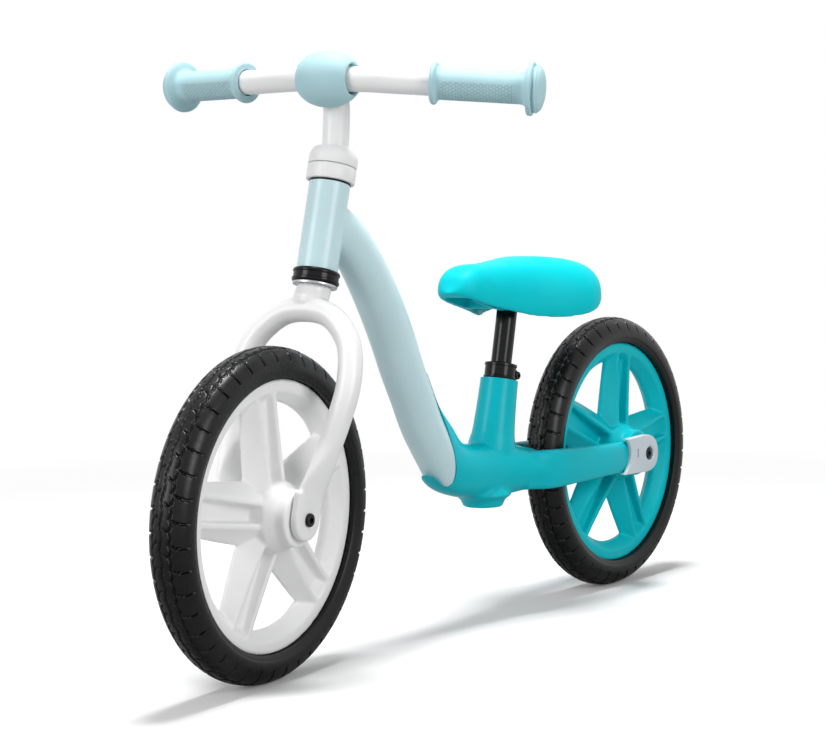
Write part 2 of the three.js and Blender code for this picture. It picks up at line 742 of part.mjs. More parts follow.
function addHeadset() {
  const bore = STEERER_RADIUS + RUNNING_GAP;
  const cupLow = -SEAT_GAP - LOWER_CUP_HEIGHT;
  const cupBore = HEADSET_BEARING_RADIUS + SEAT_GAP;
  const lowerCup = revolveZ([
    [bore, -SEAT_GAP],
    [bore, -SEAT_GAP - 2],
    [cupBore, -SEAT_GAP - 2],
    [cupBore, cupLow],
    [LOWER_CUP_RADIUS - 1.5, cupLow],
    [LOWER_CUP_RADIUS, cupLow + 1.5],
    [LOWER_CUP_RADIUS, -SEAT_GAP - 2.5],
    [LOWER_CUP_RADIUS - 2, -SEAT_GAP],
  ]);
  add(head, 'lower_headset_cup', lowerCup, FINISHES.blackPaint);
  const lowTop = -SEAT_GAP * 2 - 2;
  const lowBearing = ring(bore, HEADSET_BEARING_RADIUS, lowTop - HEADSET_BEARING_HEIGHT, lowTop);
  add(head, 'lower_headset_bearing', lowBearing, FINISHES.brightSteel);
  const race = ring(bore, CROWN_RACE_RADIUS, RACE_TOP - CROWN_RACE_HEIGHT, RACE_TOP);
  add(steered, 'crown_race', race, FINISHES.brightSteel);
  const upperLow = HEAD_TUBE_LENGTH + SEAT_GAP;
  const upperCup = ring(bore, UPPER_CUP_RADIUS, upperLow, upperLow + UPPER_CUP_HEIGHT);
  add(head, 'upper_headset_cup', upperCup, FINISHES.blackPaint);
  const highLow = COLLAR_BASE;
  const highBearing = ring(bore, HEADSET_BEARING_RADIUS, highLow, highLow + HEADSET_BEARING_HEIGHT);
  add(head, 'upper_headset_bearing', highBearing, FINISHES.brightSteel);
}

function addCollar() {
  const bore = STEERER_RADIUS + RUNNING_GAP;
  const recess = HEADSET_BEARING_RADIUS + SEAT_GAP;
  const recessTop = COLLAR_BASE + HEADSET_BEARING_HEIGHT + SEAT_GAP;
  const ringTop = COLLAR_BASE + COLLAR_RING_HEIGHT;
  const lower = revolveZ([
    [recess, COLLAR_BASE],
    [COLLAR_RADIUS - 0.8, COLLAR_BASE],
    [COLLAR_RADIUS, COLLAR_BASE + 0.8],
    [COLLAR_RADIUS, ringTop - 0.8],
    [COLLAR_RADIUS - 0.8, ringTop],
    [bore, ringTop],
    [bore, recessTop],
    [recess, recessTop],
  ], MEDIUM + 8);
  add(steered, 'steering_collar_ring', lower, FINISHES.whitePlastic);

  const upper = revolveZ([
    [bore, CLAMP_BASE],
    [COLLAR_RADIUS - 0.8, CLAMP_BASE],
    [COLLAR_RADIUS, CLAMP_BASE + 0.8],
    [COLLAR_RADIUS, CLAMP_TOP - 9],
    [COLLAR_RADIUS - 1.2, CLAMP_TOP - 5],
    [COLLAR_RADIUS - 4.5, CLAMP_TOP],
    [bore, CLAMP_TOP],
  ], MEDIUM + 8);
  const lug = block(-9, 9, bore + 2, COLLAR_RADIUS + 3, CLAMP_BASE + 1, CLAMP_TOP - 4);
  const slit = COLLAR_SLIT / 2;
  const slitCut = block(-slit, slit, bore - 2, COLLAR_RADIUS + 9, CLAMP_BASE - 1, CLAMP_TOP + 1);
  const boltZ = (CLAMP_BASE + 1 + CLAMP_TOP - 4) / 2;
  const boltY = COLLAR_RADIUS - 1.8;
  const boltHole = moved(rodX(2.5 + SEAT_GAP, -30, 30, SMALL), 0, boltY, boltZ);
  const headHole = moved(rodX(4 + SEAT_GAP, 6.5 - SEAT_GAP, 30, SMALL), 0, boltY, boltZ);
  const clamp = cut(union(upper, lug), slitCut, boltHole, headHole);
  add(steered, 'steering_collar_clamp', clamp, FINISHES.whitePlastic);
  const bolt = union(rodX(2.5, -8.6, 7, SMALL), rodX(4, 6.5, 9.6, SMALL));
  add(steered, 'steering_collar_bolt', moved(bolt, 0, boltY, boltZ), FINISHES.blackSteel);
}


// ---------------------------------------------------------------------------
// Handlebar, pad and grips
// ---------------------------------------------------------------------------

// The bars slide in the steerer and are clamped a little askew.
const bars = new THREE.Group();
bars.rotation.z = rad(BAR_TURN_DEG);
steered.add(bars);

const BAR_CENTRE = new THREE.Vector3(0, -BAR_REACH, BAR_RISE);

// Place on the bar's centre line at share 0 in the middle and 1 at the left end.
function barPoint(share) {
  const x = BAR_HALF_WIDTH * share;
  const bent = 0.14 * Math.abs(share) + 0.86 * Math.max(0, Math.abs(share) - 0.18) / 0.82;
  return new THREE.Vector3(x, BAR_SWEEP * bent, BAR_LIFT * bent).add(BAR_CENTRE);
}

// The bar's centre line between two shares.
function barCurve(from, to) {
  const between = [-0.75, -0.5, -0.34, -0.2, 0, 0.2, 0.34, 0.5, 0.75].filter((share) => {
    return share > from && share < to;
  });
  return new THREE.CatmullRomCurve3([from, ...between, to].map(barPoint));
}

function stemCurve() {
  const low = CLAMP_TOP - STEM_INSERTION;
  return new THREE.CatmullRomCurve3([
    new THREE.Vector3(0, 0, low),
    new THREE.Vector3(0, 0, THREE.MathUtils.lerp(low, CLAMP_TOP, 0.5)),
    new THREE.Vector3(0, 0, CLAMP_TOP),
    new THREE.Vector3(0, -BAR_REACH * 0.09, CLAMP_TOP + (BAR_RISE - CLAMP_TOP) * 0.3),
    new THREE.Vector3(0, -BAR_REACH * 0.3, CLAMP_TOP + (BAR_RISE - CLAMP_TOP) * 0.68),
    new THREE.Vector3(0, -BAR_REACH * 0.62, CLAMP_TOP + (BAR_RISE - CLAMP_TOP) * 0.92),
    BAR_CENTRE.clone(),
  ]);
}

// Share of the bar where the grip's closed end begins, and where its sleeve starts.
const GRIP_END_SHARE = 1;
const gripDirection = barPoint(1).sub(barPoint(0.6)).normalize();
const gripStart = barPoint(1).addScaledVector(gripDirection, -GRIP_LENGTH);
const barEndShare = GRIP_END_SHARE - (GRIP_DOME_HEIGHT + GRIP_GROOVE + 3) / BAR_HALF_WIDTH;

function addHandlebar() {
  const bar = sweep(barCurve(-barEndShare, barEndShare), BAR_RADIUS, 16, SMALL * 0.75);
  const stem = sweep(stemCurve(), STEM_RADIUS, 10, SMALL * 0.75);
  const low = CLAMP_TOP - STEM_INSERTION;
  const hollow = rod(STEM_RADIUS - STEM_WALL, low - 1, CLAMP_TOP - 2, COARSE);
  add(bars, 'handlebar', cut(union(bar, stem), hollow), FINISHES.whitePaint);

  const pad = cut(
    padShell(),
    sweep(barCurve(-0.34, 0.34), BAR_RADIUS + SEAT_GAP * 2, 6, SMALL * 0.75),
    sweep(stemCurve(), STEM_RADIUS + SEAT_GAP * 2, 10, SMALL * 0.75),
  );
  add(bars, 'handlebar_pad', pad, FINISHES.paleBlueRubber);
}

function padShell() {
  const steps = 4;
  const half = [];
  const mouth = PAD_MOUTH_RADIUS;
  const stop = Math.acos(mouth / PAD_RADIUS) * 0.98;
  for (let i = 0; i <= steps; i += 1) {
    const angle = (i / steps) * stop;
    half.push([PAD_RADIUS * Math.cos(angle), PAD_HALF_LENGTH * Math.sin(angle) ** 0.94]);
  }
  const endX = half.at(-1)[1];
  half.push([mouth - 0.6, endX]);
  half.push([mouth - 1.4, endX - PAD_MOUTH_DEPTH]);
  half.push([0, endX - PAD_MOUTH_DEPTH]);
  const mirror = half.slice(1).map(([r, x]) => [r, -x]).reverse();
  return moved(revolveX([...mirror, ...half], MEDIUM), ...BAR_CENTRE);
}

// A grip on Z: the sleeve starts at 0 and the domed end points up.
function gripGeometry() {
  const flangeLow = GRIP_LENGTH - GRIP_DOME_HEIGHT - GRIP_GROOVE - GRIP_FLANGE_THICKNESS;
  const flangeTop = flangeLow + GRIP_FLANGE_THICKNESS;
  const domeLow = flangeTop + GRIP_GROOVE;
  const dome = [];
  const steps = 4;
  for (let i = 0; i <= steps; i += 1) {
    const angle = (i / steps) * Math.PI / 2;
    const r = GRIP_DOME_RADIUS * Math.cos(angle);
    dome.push([i === steps ? 0 : r, domeLow + 1.5 + (GRIP_DOME_HEIGHT - 1.5) * Math.sin(angle)]);
  }
  const outside = [
    [GRIP_INNER_FLANGE_RADIUS - 0.6, 0],
    [GRIP_INNER_FLANGE_RADIUS, GRIP_FLANGE_THICKNESS / 2],
    [GRIP_INNER_FLANGE_RADIUS - 1, GRIP_FLANGE_THICKNESS - 0.6],
    [GRIP_RADIUS, GRIP_FLANGE_THICKNESS + 2],
    [GRIP_RADIUS, flangeLow - 6],
    [GRIP_RADIUS + 3, flangeLow - 2],
    [GRIP_END_FLANGE_RADIUS, flangeLow + 1],
    [GRIP_END_FLANGE_RADIUS, flangeTop - 1],
    [GRIP_END_FLANGE_RADIUS - 1, flangeTop],
    [GRIP_DOME_RADIUS - 1.6, flangeTop],
    [GRIP_DOME_RADIUS - 1.6, domeLow],
    ...dome,
  ];
  return revolveZ([[0, 0], ...outside], MEDIUM - 2);
}

function addGrips() {
  const end = barEndShare + 0.004;
  for (const [side, name] of [[1, 'left'], [-1, 'right']]) {
    const line = side > 0 ? barCurve(0.2, end) : barCurve(-end, -0.2);
    const bore = sweep(line, BAR_RADIUS + SEAT_GAP * 3, 6, SMALL * 0.75);
    const direction = new THREE.Vector3(side * gripDirection.x, gripDirection.y, gripDirection.z);
    const start = new THREE.Vector3(side * gripStart.x, gripStart.y, gripStart.z);
    const turn = new THREE.Quaternion().setFromUnitVectors(new THREE.Vector3(0, 0, 1), direction);
    const placed = gripGeometry().applyQuaternion(turn).translate(...start);
    add(bars, `grip_${name}`, cut(placed, bore), FINISHES.paleBlueRubber);
  }
}

// ---------------------------------------------------------------------------
// Frame
// ---------------------------------------------------------------------------

// Stations along the bike's centre plane. Each holds the place [y, z] of its centre,
// its half width across the bike, and how far it reaches above and below the line.
function plankGeometry(line, exponent, steps, segments) {
  const curve = new THREE.CatmullRomCurve3(line.map(({ y, z }) => new THREE.Vector3(0, y, z)));
  const across = new THREE.Vector3(1, 0, 0);
  const stations = [];
  for (let i = 0; i <= steps; i += 1) {
    const t = i / steps;
    const along = curve.getTangent(t);
    const up = new THREE.Vector3().crossVectors(across, along).normalize();
    const sized = (key) => profileAt(line.map((part, k) => [k / (line.length - 1), part[key]]), t);
    const outline = superellipse(1, 1, exponent, segments).map((point) => {
      const reach = point.y > 0 ? sized('above') : sized('below');
      return new THREE.Vector2(point.x * sized('half'), point.y * reach);
    });
    const matrix = new THREE.Matrix4().makeBasis(across, up, along.negate());
    matrix.setPosition(curve.getPoint(t));
    stations.push({ outline, matrix });
  }
  return loft(stations);
}

// The down tube, from the middle of the head tube to its rounded foot.
const TUBE = DOWN_TUBE_RADIUS;
const DOWN_TUBE_LINE = [
  { y: -197, z: 401, half: TUBE * 0.79, above: TUBE * 0.95, below: TUBE * 0.95 },
  { y: -170, z: 385, half: TUBE * 0.88, above: TUBE, below: TUBE * 0.98 },
  { y: -151, z: 365, half: TUBE * 0.95, above: TUBE * 1.04, below: TUBE },
  { y: -128, z: 334, half: TUBE, above: TUBE * 1.08, below: TUBE },
  { y: -102, z: 291, half: TUBE * 1.02, above: TUBE * 1.08, below: TUBE },
  { y: -86, z: 259, half: TUBE * 1.01, above: TUBE * 1.05, below: TUBE },
  { y: -71, z: 232.5, half: TUBE, above: TUBE * 1.02, below: TUBE },
  { y: -56.5, z: 205.5, half: TUBE, above: TUBE, below: TUBE },
  { y: -41, z: 184, half: TUBE, above: TUBE, below: TUBE },
  { y: -29, z: 169, half: TUBE, above: TUBE, below: TUBE },
  { y: -18, z: 154, half: TUBE, above: TUBE, below: TUBE },
];

function downTubeGeometry() {
  const foot = DOWN_TUBE_LINE.at(-1);
  const ball = new THREE.SphereGeometry(foot.half, COARSE, SMALL);
  return union(plankGeometry(DOWN_TUBE_LINE, 2, 12, MEDIUM), ball.translate(0, foot.y, foot.z));
}

// Side view of the border between the down tube and the rear frame: the down tube
// ends as a long rounded tongue in front of it.
function tongueGeometry(grow) {
  const shape = new THREE.Shape();
  shape.moveTo(-260, 470);
  shape.lineTo(-60, 470);
  shape.lineTo(-66 + grow, 254);
  shape.bezierCurveTo(-47 + grow, 216, -30 + grow, 186, -28 + grow, 158);
  shape.bezierCurveTo(-27 + grow, 144 - grow, -29 + grow, 141 - grow, -34, 142 - grow);
  shape.lineTo(-60 - grow, 160 - grow);
  shape.lineTo(-260, 330);
  return plateX(shape, -60, 60);
}

function frontFrameGeometry() {
  const tube = common(downTubeGeometry(), tongueGeometry(0));
  const headTube = intoWorld(rod(HEAD_TUBE_RADIUS, 0, HEAD_TUBE_LENGTH, MEDIUM + 8), head);
  const bore = intoWorld(rod(HEAD_TUBE_BORE_RADIUS, -20, HEAD_TUBE_LENGTH + 20), head);
  return cut(union(tube, headTube), bore);
}

// The socket for the seat post, spreading onto the body, with a boss below.
function seatTubeGeometry() {
  const flare = SEAT_TUBE_FLARE;
  const socket = revolveZ([
    [0, -SEAT_BORE_DEPTH - 4],
    [SEAT_TUBE_RADIUS, -SEAT_BORE_DEPTH - 4],
    [SEAT_TUBE_RADIUS + flare, -78],
    [SEAT_TUBE_RADIUS + flare, -66],
    [SEAT_TUBE_RADIUS + flare * 0.62, -58],
    [SEAT_TUBE_RADIUS + flare * 0.36, -47],
    [SEAT_TUBE_RADIUS + flare * 0.16, -26],
    [SEAT_TUBE_RADIUS, -1],
    [SEAT_TUBE_RADIUS - 1, 0],
    [0, 0],
  ], MEDIUM + 2);
  const r = SEAT_BOSS_RADIUS;
  const boss = revolveZ([
    [0, 0],
    [r - 3, 0],
    [r - 0.9, 0.9],
    [r, 3],
    [r + 1.4, 6],
    [r + 4, 9],
    [r + 8.5, 12],
    [r, 26],
    [0, 26],
  ], MEDIUM + 2);
  return union(intoWorld(socket, seat), moved(boss, 0, SEAT_BOSS_Y, SEAT_BOSS_Z));
}

// The body carries on from the foot of the down tube and turns back under the seat.
const BODY_LINE = [
  { y: -66, z: 222, half: TUBE, above: TUBE + 0.5, below: TUBE },
  { y: -57, z: 206, half: TUBE, above: TUBE + 4, below: TUBE + 1 },
  { y: -42, z: 184, half: TUBE + 0.5, above: TUBE + 9, below: TUBE + 2.5 },
  { y: -24, z: 163, half: TUBE + 1, above: TUBE + 10.5, below: TUBE + 2.5 },
  { y: 0, z: 154, half: TUBE + 2, above: TUBE + 7, below: TUBE + 3.5 },
  { y: 30, z: 151, half: TUBE + 3.6, above: TUBE + 6.4, below: TUBE + 5.5 },
  { y: 60, z: 149, half: TUBE + 7, above: TUBE + 8, below: TUBE + 7 },
  { y: 90, z: 147, half: TUBE + 15, above: TUBE + 4.5, below: TUBE + 3 },
  { y: 114, z: 146, half: TUBE + 22, above: TUBE + 0.5, below: TUBE },
];

// One stay, from inside the body back to the axle plate, on the side given by sign.
function stayGeometry(sign) {
  const startY = 84;
  const endY = REAR_AXLE.y - STAY_END_RADIUS;
  const endX = STAY_END_INNER_X + STAY_END_THICKNESS / 2;
  const half = STAY_THICKNESS / 2;
  const centreX = [[startY, 22], [112, 34], [140, 39.5], [190, 41.8], [240, 43.2], [endY, endX]];
  const halfHeight = [
    [startY, STAY_HALF_HEIGHT],
    [112, STAY_HALF_HEIGHT + 1.2],
    [143, STAY_HALF_HEIGHT],
    [236, STAY_END_HALF_HEIGHT + 0.7],
    [endY, STAY_END_HALF_HEIGHT],
  ];
  const halfThickness = [
    [startY, half + 3],
    [140, half + 0.6],
    [215, half],
    [248, STAY_END_THICKNESS / 2 + 0.6],
    [endY, STAY_END_THICKNESS / 2],
  ];
  const stations = [];
  const steps = 6;
  for (let i = 0; i <= steps; i += 1) {
    const y = THREE.MathUtils.lerp(startY, endY, i / steps);
    const outline = superellipse(profileAt(halfThickness, y), profileAt(halfHeight, y), 3.2, COARSE);
    stations.push(stationY(outline, y, sign * profileAt(centreX, y), REAR_AXLE.z));
  }
  return loft(stations);
}

function stayEndGeometry(sign) {
  const shape = new THREE.Shape();
  const front = REAR_AXLE.y - STAY_END_RADIUS * 1.6;
  shape.absarc(REAR_AXLE.y, REAR_AXLE.z, STAY_END_RADIUS, -Math.PI / 2, Math.PI / 2);
  shape.lineTo(front, REAR_AXLE.z + STAY_END_RADIUS);
  shape.lineTo(front, REAR_AXLE.z - STAY_END_RADIUS);
  const inner = sign * STAY_END_INNER_X;
  const outer = sign * (STAY_END_INNER_X + STAY_END_THICKNESS);
  return plateX(shape, Math.min(inner, outer), Math.max(inner, outer));
}

function tyreRoomGeometry() {
  const half = TYRE_WIDTH / 2 + TYRE_ROOM - 2;
  const outer = TYRE_RADIUS + TYRE_ROOM;
  return revolveX([
    [0, -half],
    [outer - 9, -half],
    [outer, -half + 12],
    [outer, half - 12],
    [outer - 9, half],
    [0, half],
  ], FINE).translate(...REAR_AXLE);
}

function rearFrameGeometry() {
  const whole = union(
    plankGeometry(BODY_LINE, 2.2, 11, MEDIUM),
    seatTubeGeometry(),
    stayGeometry(1),
    stayGeometry(-1),
    stayEndGeometry(1),
    stayEndGeometry(-1),
  );
  const linerBore = intoWorld(rod(LINER_RADIUS + SEAT_GAP, -SEAT_BORE_DEPTH, 5), seat);
  const axleHole = rodX(AXLE_RADIUS + SEAT_GAP, -80, 80, COARSE).translate(...REAR_AXLE);
  return cut(whole, tongueGeometry(SEAT_GAP * 1.5), tyreRoomGeometry(), linerBore, axleHole);
}

// A moulded cover over the outside of a stay's end, with a hollow front edge and a
// low rim reaching back over the stay.
function stayCapGeometry(sign) {
  const { y, z } = REAR_AXLE;
  const front = y - CAP_REACH;
  const innerX = STAY_END_INNER_X + STAY_END_THICKNESS + SEAT_GAP;
  const outline = (inset) => {
    const [top, bottom] = [z + CAP_HALF_HEIGHT - inset, z - CAP_HALF_HEIGHT + inset];
    const tail = y + CAP_TAIL - inset;
    const shape = new THREE.Shape();
    shape.moveTo(front + 4 - inset, top);
    shape.quadraticCurveTo(front + 4 + CAP_HOLLOW * 2 - inset, z + 2, front - 1 - inset, bottom + 1);
    shape.lineTo(y - 8, bottom);
    shape.bezierCurveTo(y + CAP_TAIL * 0.6, bottom, tail, z - CAP_HALF_HEIGHT * 0.6, tail, z);
    shape.bezierCurveTo(tail, z + CAP_HALF_HEIGHT * 0.7, y + CAP_TAIL * 0.4, top + 1.5, y - 9, top + 1.5);
    return shape;
  };
  const shell = cut(
    plateX(outline(0), innerX - CAP_LIP, innerX + CAP_THICKNESS),
    plateX(outline(CAP_WALL), innerX - CAP_LIP - 5, innerX),
    rodX(BOLT_HEAD_RADIUS + 0.9, innerX - 1, innerX + 9, COARSE + 4).translate(0, y, z),
    block(innerX - 1, innerX + 9, y - 26.5, y - 24.5, z - 2, z + 7),
  );
  return shell.scale(sign, 1, 1);
}

function addFrame() {
  add(bike, 'front_frame', frontFrameGeometry(), FINISHES.paleBluePaint);
  add(bike, 'rear_frame', rearFrameGeometry(), FINISHES.turquoisePaint);
  add(bike, 'stay_cap_left', stayCapGeometry(1), FINISHES.paleGreyPlastic);
  add(bike, 'stay_cap_right', stayCapGeometry(-1), FINISHES.paleGreyPlastic);
}

// ---------------------------------------------------------------------------
// Seat post and saddle
// ---------------------------------------------------------------------------

const POST_TOP = (SADDLE_SKIRT_Z + 26 - SEAT_TUBE_TOP_Z) / Math.cos(rad(SEAT_TILT_DEG));

function addSeatPost() {
  const bore = SEAT_POST_RADIUS + RUNNING_GAP;
  const liner = ring(bore, LINER_RADIUS, SEAT_GAP - SEAT_BORE_DEPTH, LINER_STANDOUT);
  const slot = block(-1, 1, 0, LINER_RADIUS + 2, -10, LINER_STANDOUT + 1);
  add(seat, 'seat_tube_liner', cut(liner, slot), FINISHES.blackSteel);

  const clampBore = LINER_RADIUS + SEAT_GAP;
  const low = SEAT_GAP;
  const high = low + SEAT_CLAMP_HEIGHT;
  const band = ring(clampBore, SEAT_CLAMP_RADIUS, low, high);
  const ears = block(-7, 7, clampBore + 1, SEAT_CLAMP_RADIUS + 6, low + 1, high - 3);
  const slit = SEAT_CLAMP_SLIT / 2;
  const gap = block(-slit, slit, clampBore - 2, SEAT_CLAMP_RADIUS + 12, low - 1, high + 1);
  const boltY = SEAT_CLAMP_RADIUS + 3;
  const boltZ = (low + high) / 2 - 1;
  const hole = moved(rodX(2.5 + SEAT_GAP, -20, 20, SMALL), 0, boltY, boltZ);
  add(seat, 'seat_clamp', cut(union(band, ears), gap, hole), FINISHES.blackPaint);
  const bolt = union(
    rodX(2.5, -9, 9, SMALL),
    rodX(4.2, 7 + SEAT_GAP, 9.6, SMALL),
    rodX(4, -9.6, -7 - SEAT_GAP, 6),
  );
  add(seat, 'seat_clamp_bolt', moved(bolt, 0, boltY, boltZ), FINISHES.blackSteel);

  const post = ring(SEAT_POST_RADIUS - SEAT_POST_WALL, SEAT_POST_RADIUS, POST_TOP - SEAT_POST_LENGTH, POST_TOP);
  add(seat, 'seat_post', post, FINISHES.blackPaint);
}

// Half width along the saddle, from nose to rear, as shares of its length.
function saddleHalfWidth(share) {
  const [nose, wide] = [SADDLE_NOSE_HALF_WIDTH, SADDLE_HALF_WIDTH];
  return profileAt([
    [0, nose * 0.14],
    [0.015, nose * 0.46],
    [0.045, nose * 0.76],
    [0.1, nose],
    [0.28, nose * 1.22],
    [0.45, wide * 0.6],
    [0.6, wide * 0.86],
    [0.71, wide],
    [0.83, wide * 0.93],
    [0.93, wide * 0.68],
    [0.98, wide * 0.42],
    [1, wide * 0.2],
  ], share);
}

function saddleTop(share) {
  const high = SADDLE_TOP_Z;
  return profileAt([
    [0, high - 30],
    [0.04, high - 14],
    [0.13, high - 5],
    [0.3, high - 5.5],
    [0.5, high - 1],
    [0.64, high],
    [0.84, high - 6],
    [0.95, high - 20],
    [1, high - 38],
  ], share);
}

function saddleSkirt(share) {
  const low = SADDLE_SKIRT_Z;
  return profileAt([
    [0, low + 27],
    [0.1, low + 20],
    [0.2, low + 14],
    [0.35, low + 7],
    [0.46, low + 2.2],
    [0.58, low],
    [0.7, low + 2.3],
    [0.82, low + 7.5],
    [1, low + 18],
  ], share);
}

// The saddle's outer form, or with a wall the form of the hollow inside it. The slack
// draws it in further, and the drop takes its sides on down below the skirt's edge.
function saddleForm(wall, floor, slack, drop) {
  const [steps, crown] = wall > 0 ? [8, 5] : [13, 10];
  const stations = [];
  const trim = wall / SADDLE_LENGTH;
  for (let i = 0; i <= steps; i += 1) {
    const u = (1 - Math.cos((i / steps) * Math.PI)) / 2;
    const share = THREE.MathUtils.lerp(trim, 1 - trim, u);
    const width = Math.max(saddleHalfWidth(share) - wall, 2) - slack;
    const top = saddleTop(share) - floor - slack;
    const bottom = Math.min(saddleSkirt(share), top - 2);
    const outline = [];
    for (let k = 0; k <= crown; k += 1) {
      const angle = (k / crown) * Math.PI;
      const x = width * Math.sign(Math.cos(angle)) * Math.abs(Math.cos(angle)) ** 0.62;
      const z = bottom + (top - bottom) * (0.15 + 0.85 * Math.abs(Math.sin(angle)) ** 0.72);
      outline.push(new THREE.Vector2(x, z));
    }
    outline.push(new THREE.Vector2(-width * 0.95, bottom - drop));
    outline.push(new THREE.Vector2(width * 0.95, bottom - drop));
    stations.push(stationY(outline, SADDLE_NOSE_Y + share * SADDLE_LENGTH));
  }
  return loft(stations);
}

function addSaddle() {
  const cover = cut(saddleForm(0, 0, 0, 0), saddleForm(SADDLE_WALL, SADDLE_FLOOR, 0, SADDLE_WALL));
  add(bike, 'saddle_cover', cover, FINISHES.turquoiseFoam);
  const low = SADDLE_SKIRT_Z + SADDLE_RIB_SETBACK;
  const nose = SADDLE_NOSE_Y + SADDLE_WALL;
  const rear = SADDLE_NOSE_Y + SADDLE_LENGTH - SADDLE_WALL;
  const ends = block(-90, 90, nose + SADDLE_BASE_SETBACK, rear - SADDLE_BASE_SETBACK, low, SADDLE_TOP_Z);
  const inside = common(saddleForm(SADDLE_WALL, SADDLE_FLOOR, SEAT_GAP * 2, 0), ends);
  const slab = common(inside, block(-90, 90, nose, rear, SADDLE_PLATE_Z, SADDLE_TOP_Z));
  const half = SADDLE_RIB_THICKNESS / 2;
  const ribs = [-SADDLE_RIB_SPACING, SADDLE_RIB_SPACING].map((x) => {
    return common(inside, block(x - half, x + half, nose, rear, low, SADDLE_TOP_Z));
  });
  const crossRibs = [0.26, 0.66].map((share) => {
    const y = SADDLE_NOSE_Y + SADDLE_LENGTH * share;
    return common(inside, block(-90, 90, y - half, y + half, low, SADDLE_TOP_Z));
  });
  const sleeve = intoWorld(rod(SEAT_POST_RADIUS + 5, POST_TOP - 14, POST_TOP + 30), seat);
  const bore = intoWorld(rod(SEAT_POST_RADIUS + SEAT_GAP, POST_TOP - 60, POST_TOP + SEAT_GAP), seat);
  const base = cut(union(slab, common(sleeve, inside), ...ribs, ...crossRibs), bore);
  add(bike, 'saddle_base', base, FINISHES.turquoisePlastic);
}

// ---------------------------------------------------------------------------
// Assembly
// ---------------------------------------------------------------------------

addFrame();
addHeadset();
add(steered, 'fork', forkGeometry(), FINISHES.whitePaint);
addCollar();
addHandlebar();
addGrips();
const forkInner = DROPOUT_X - DROPOUT_THICKNESS / 2;
addWheel(frontWheel, 'front', FRONT_SPOKE_PHASE_DEG, FINISHES.whitePlastic, forkInner, forkInner + DROPOUT_THICKNESS);
const stayOuter = STAY_END_INNER_X + STAY_END_THICKNESS;
addWheel(rearWheel, 'rear', REAR_SPOKE_PHASE_DEG, FINISHES.turquoisePlastic, STAY_END_INNER_X, stayOuter);
addSeatPost();
addSaddle();

export default bike;
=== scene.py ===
"""Looks of a child's balance bike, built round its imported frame."""

from __future__ import annotations

import json
import logging
import math
from dataclasses import dataclass, field
from enum import Enum
from itertools import accumulate
from typing import Callable, Sequence

import bmesh
import bpy
from mathutils import Matrix, Vector


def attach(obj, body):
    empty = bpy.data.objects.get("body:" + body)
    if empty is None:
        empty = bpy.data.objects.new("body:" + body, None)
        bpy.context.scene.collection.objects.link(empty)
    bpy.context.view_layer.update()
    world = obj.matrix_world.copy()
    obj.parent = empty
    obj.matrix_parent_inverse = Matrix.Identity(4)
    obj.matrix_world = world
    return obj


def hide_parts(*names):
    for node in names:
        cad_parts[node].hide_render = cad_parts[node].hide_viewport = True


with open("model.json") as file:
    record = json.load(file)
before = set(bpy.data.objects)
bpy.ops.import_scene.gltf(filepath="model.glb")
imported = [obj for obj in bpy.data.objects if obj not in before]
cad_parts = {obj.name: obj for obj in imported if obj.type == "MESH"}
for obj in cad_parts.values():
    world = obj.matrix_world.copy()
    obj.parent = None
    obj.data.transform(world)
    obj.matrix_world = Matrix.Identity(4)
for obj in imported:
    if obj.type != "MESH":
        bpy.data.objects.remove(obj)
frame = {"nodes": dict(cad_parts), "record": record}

log = logging.getLogger("balance_bike")
MM = 0.001
Pair = tuple[float, float]
Point = tuple[float, float, float]
Colour = tuple[float, float, float, float]
Socket = bpy.types.NodeSocket
Input = float | Colour | Socket
THROUGH = 80  # half length of rods that cut right across the bike


# ---- Curves and outlines ----


def profile_at(pairs: Sequence[Pair], place: float) -> float:
    """Reads a smooth value between given places.

    Args:
        pairs: Places in rising order, each with its value.
        place: Where to read.

    Returns:
        The value there, held constant beyond both ends.
    """
    last = len(pairs) - 1
    if place <= pairs[0][0]:
        return pairs[0][1]
    if place >= pairs[last][0]:
        return pairs[last][1]
    i = next(k for k, pair in enumerate(pairs) if pair[0] > place) - 1
    (p0, v0), (p1, v1) = pairs[i], pairs[i + 1]

    def slope(k: int) -> float:
        """Slope through the neighbours of pair k, flat at both ends."""
        (x0, y0), (x1, y1) = pairs[max(k - 1, 0)], pairs[min(k + 1, last)]
        return (y1 - y0) / (x1 - x0) if 0 < k < last else 0.0

    span = p1 - p0
    t = (place - p0) / span
    rise = v0 * (2 * t**3 - 3 * t**2 + 1) + v1 * (3 * t**2 - 2 * t**3)
    return rise + span * (slope(i) * (t**3 - 2 * t**2 + t) + slope(i + 1) * (t**3 - t**2))


def profile_linear(pairs: Sequence[Pair], place: float) -> float:
    """Reads a straight-line value between given places.

    Args:
        pairs: Places in rising order, each with its value.
        place: Where to read.

    Returns:
        The value there, held constant beyond both ends.
    """
    low, high = 0, len(pairs) - 1
    while high - low > 1:
        middle = (low + high) // 2
        if pairs[middle][0] <= place:
            low = middle
        else:
            high = middle
    (p0, v0), (p1, v1) = pairs[low], pairs[high]
    return v0 + (v1 - v0) * min(max((place - p0) / (p1 - p0), 0.0), 1.0)


def smoothstep(value: float, low: float, high: float) -> float:
    """Eased share of the way from low to high, from 0 to 1."""
    t = min(max((value - low) / (high - low), 0.0), 1.0)
    return t * t * (3 - 2 * t)


def half_round(middle: Pair, radius: float, start: float) -> list[Pair]:
    """Corners of half a circle, anticlockwise from an angle in radians."""
    angles = [start + math.pi * i / 32 for i in range(33)]
    return [(middle[0] + radius * math.cos(a), middle[1] + radius * math.sin(a)) for a in angles]


def mix(a: float, b: float, share: float) -> float:
    """The value a share of the way from a to b."""
    return a + (b - a) * share


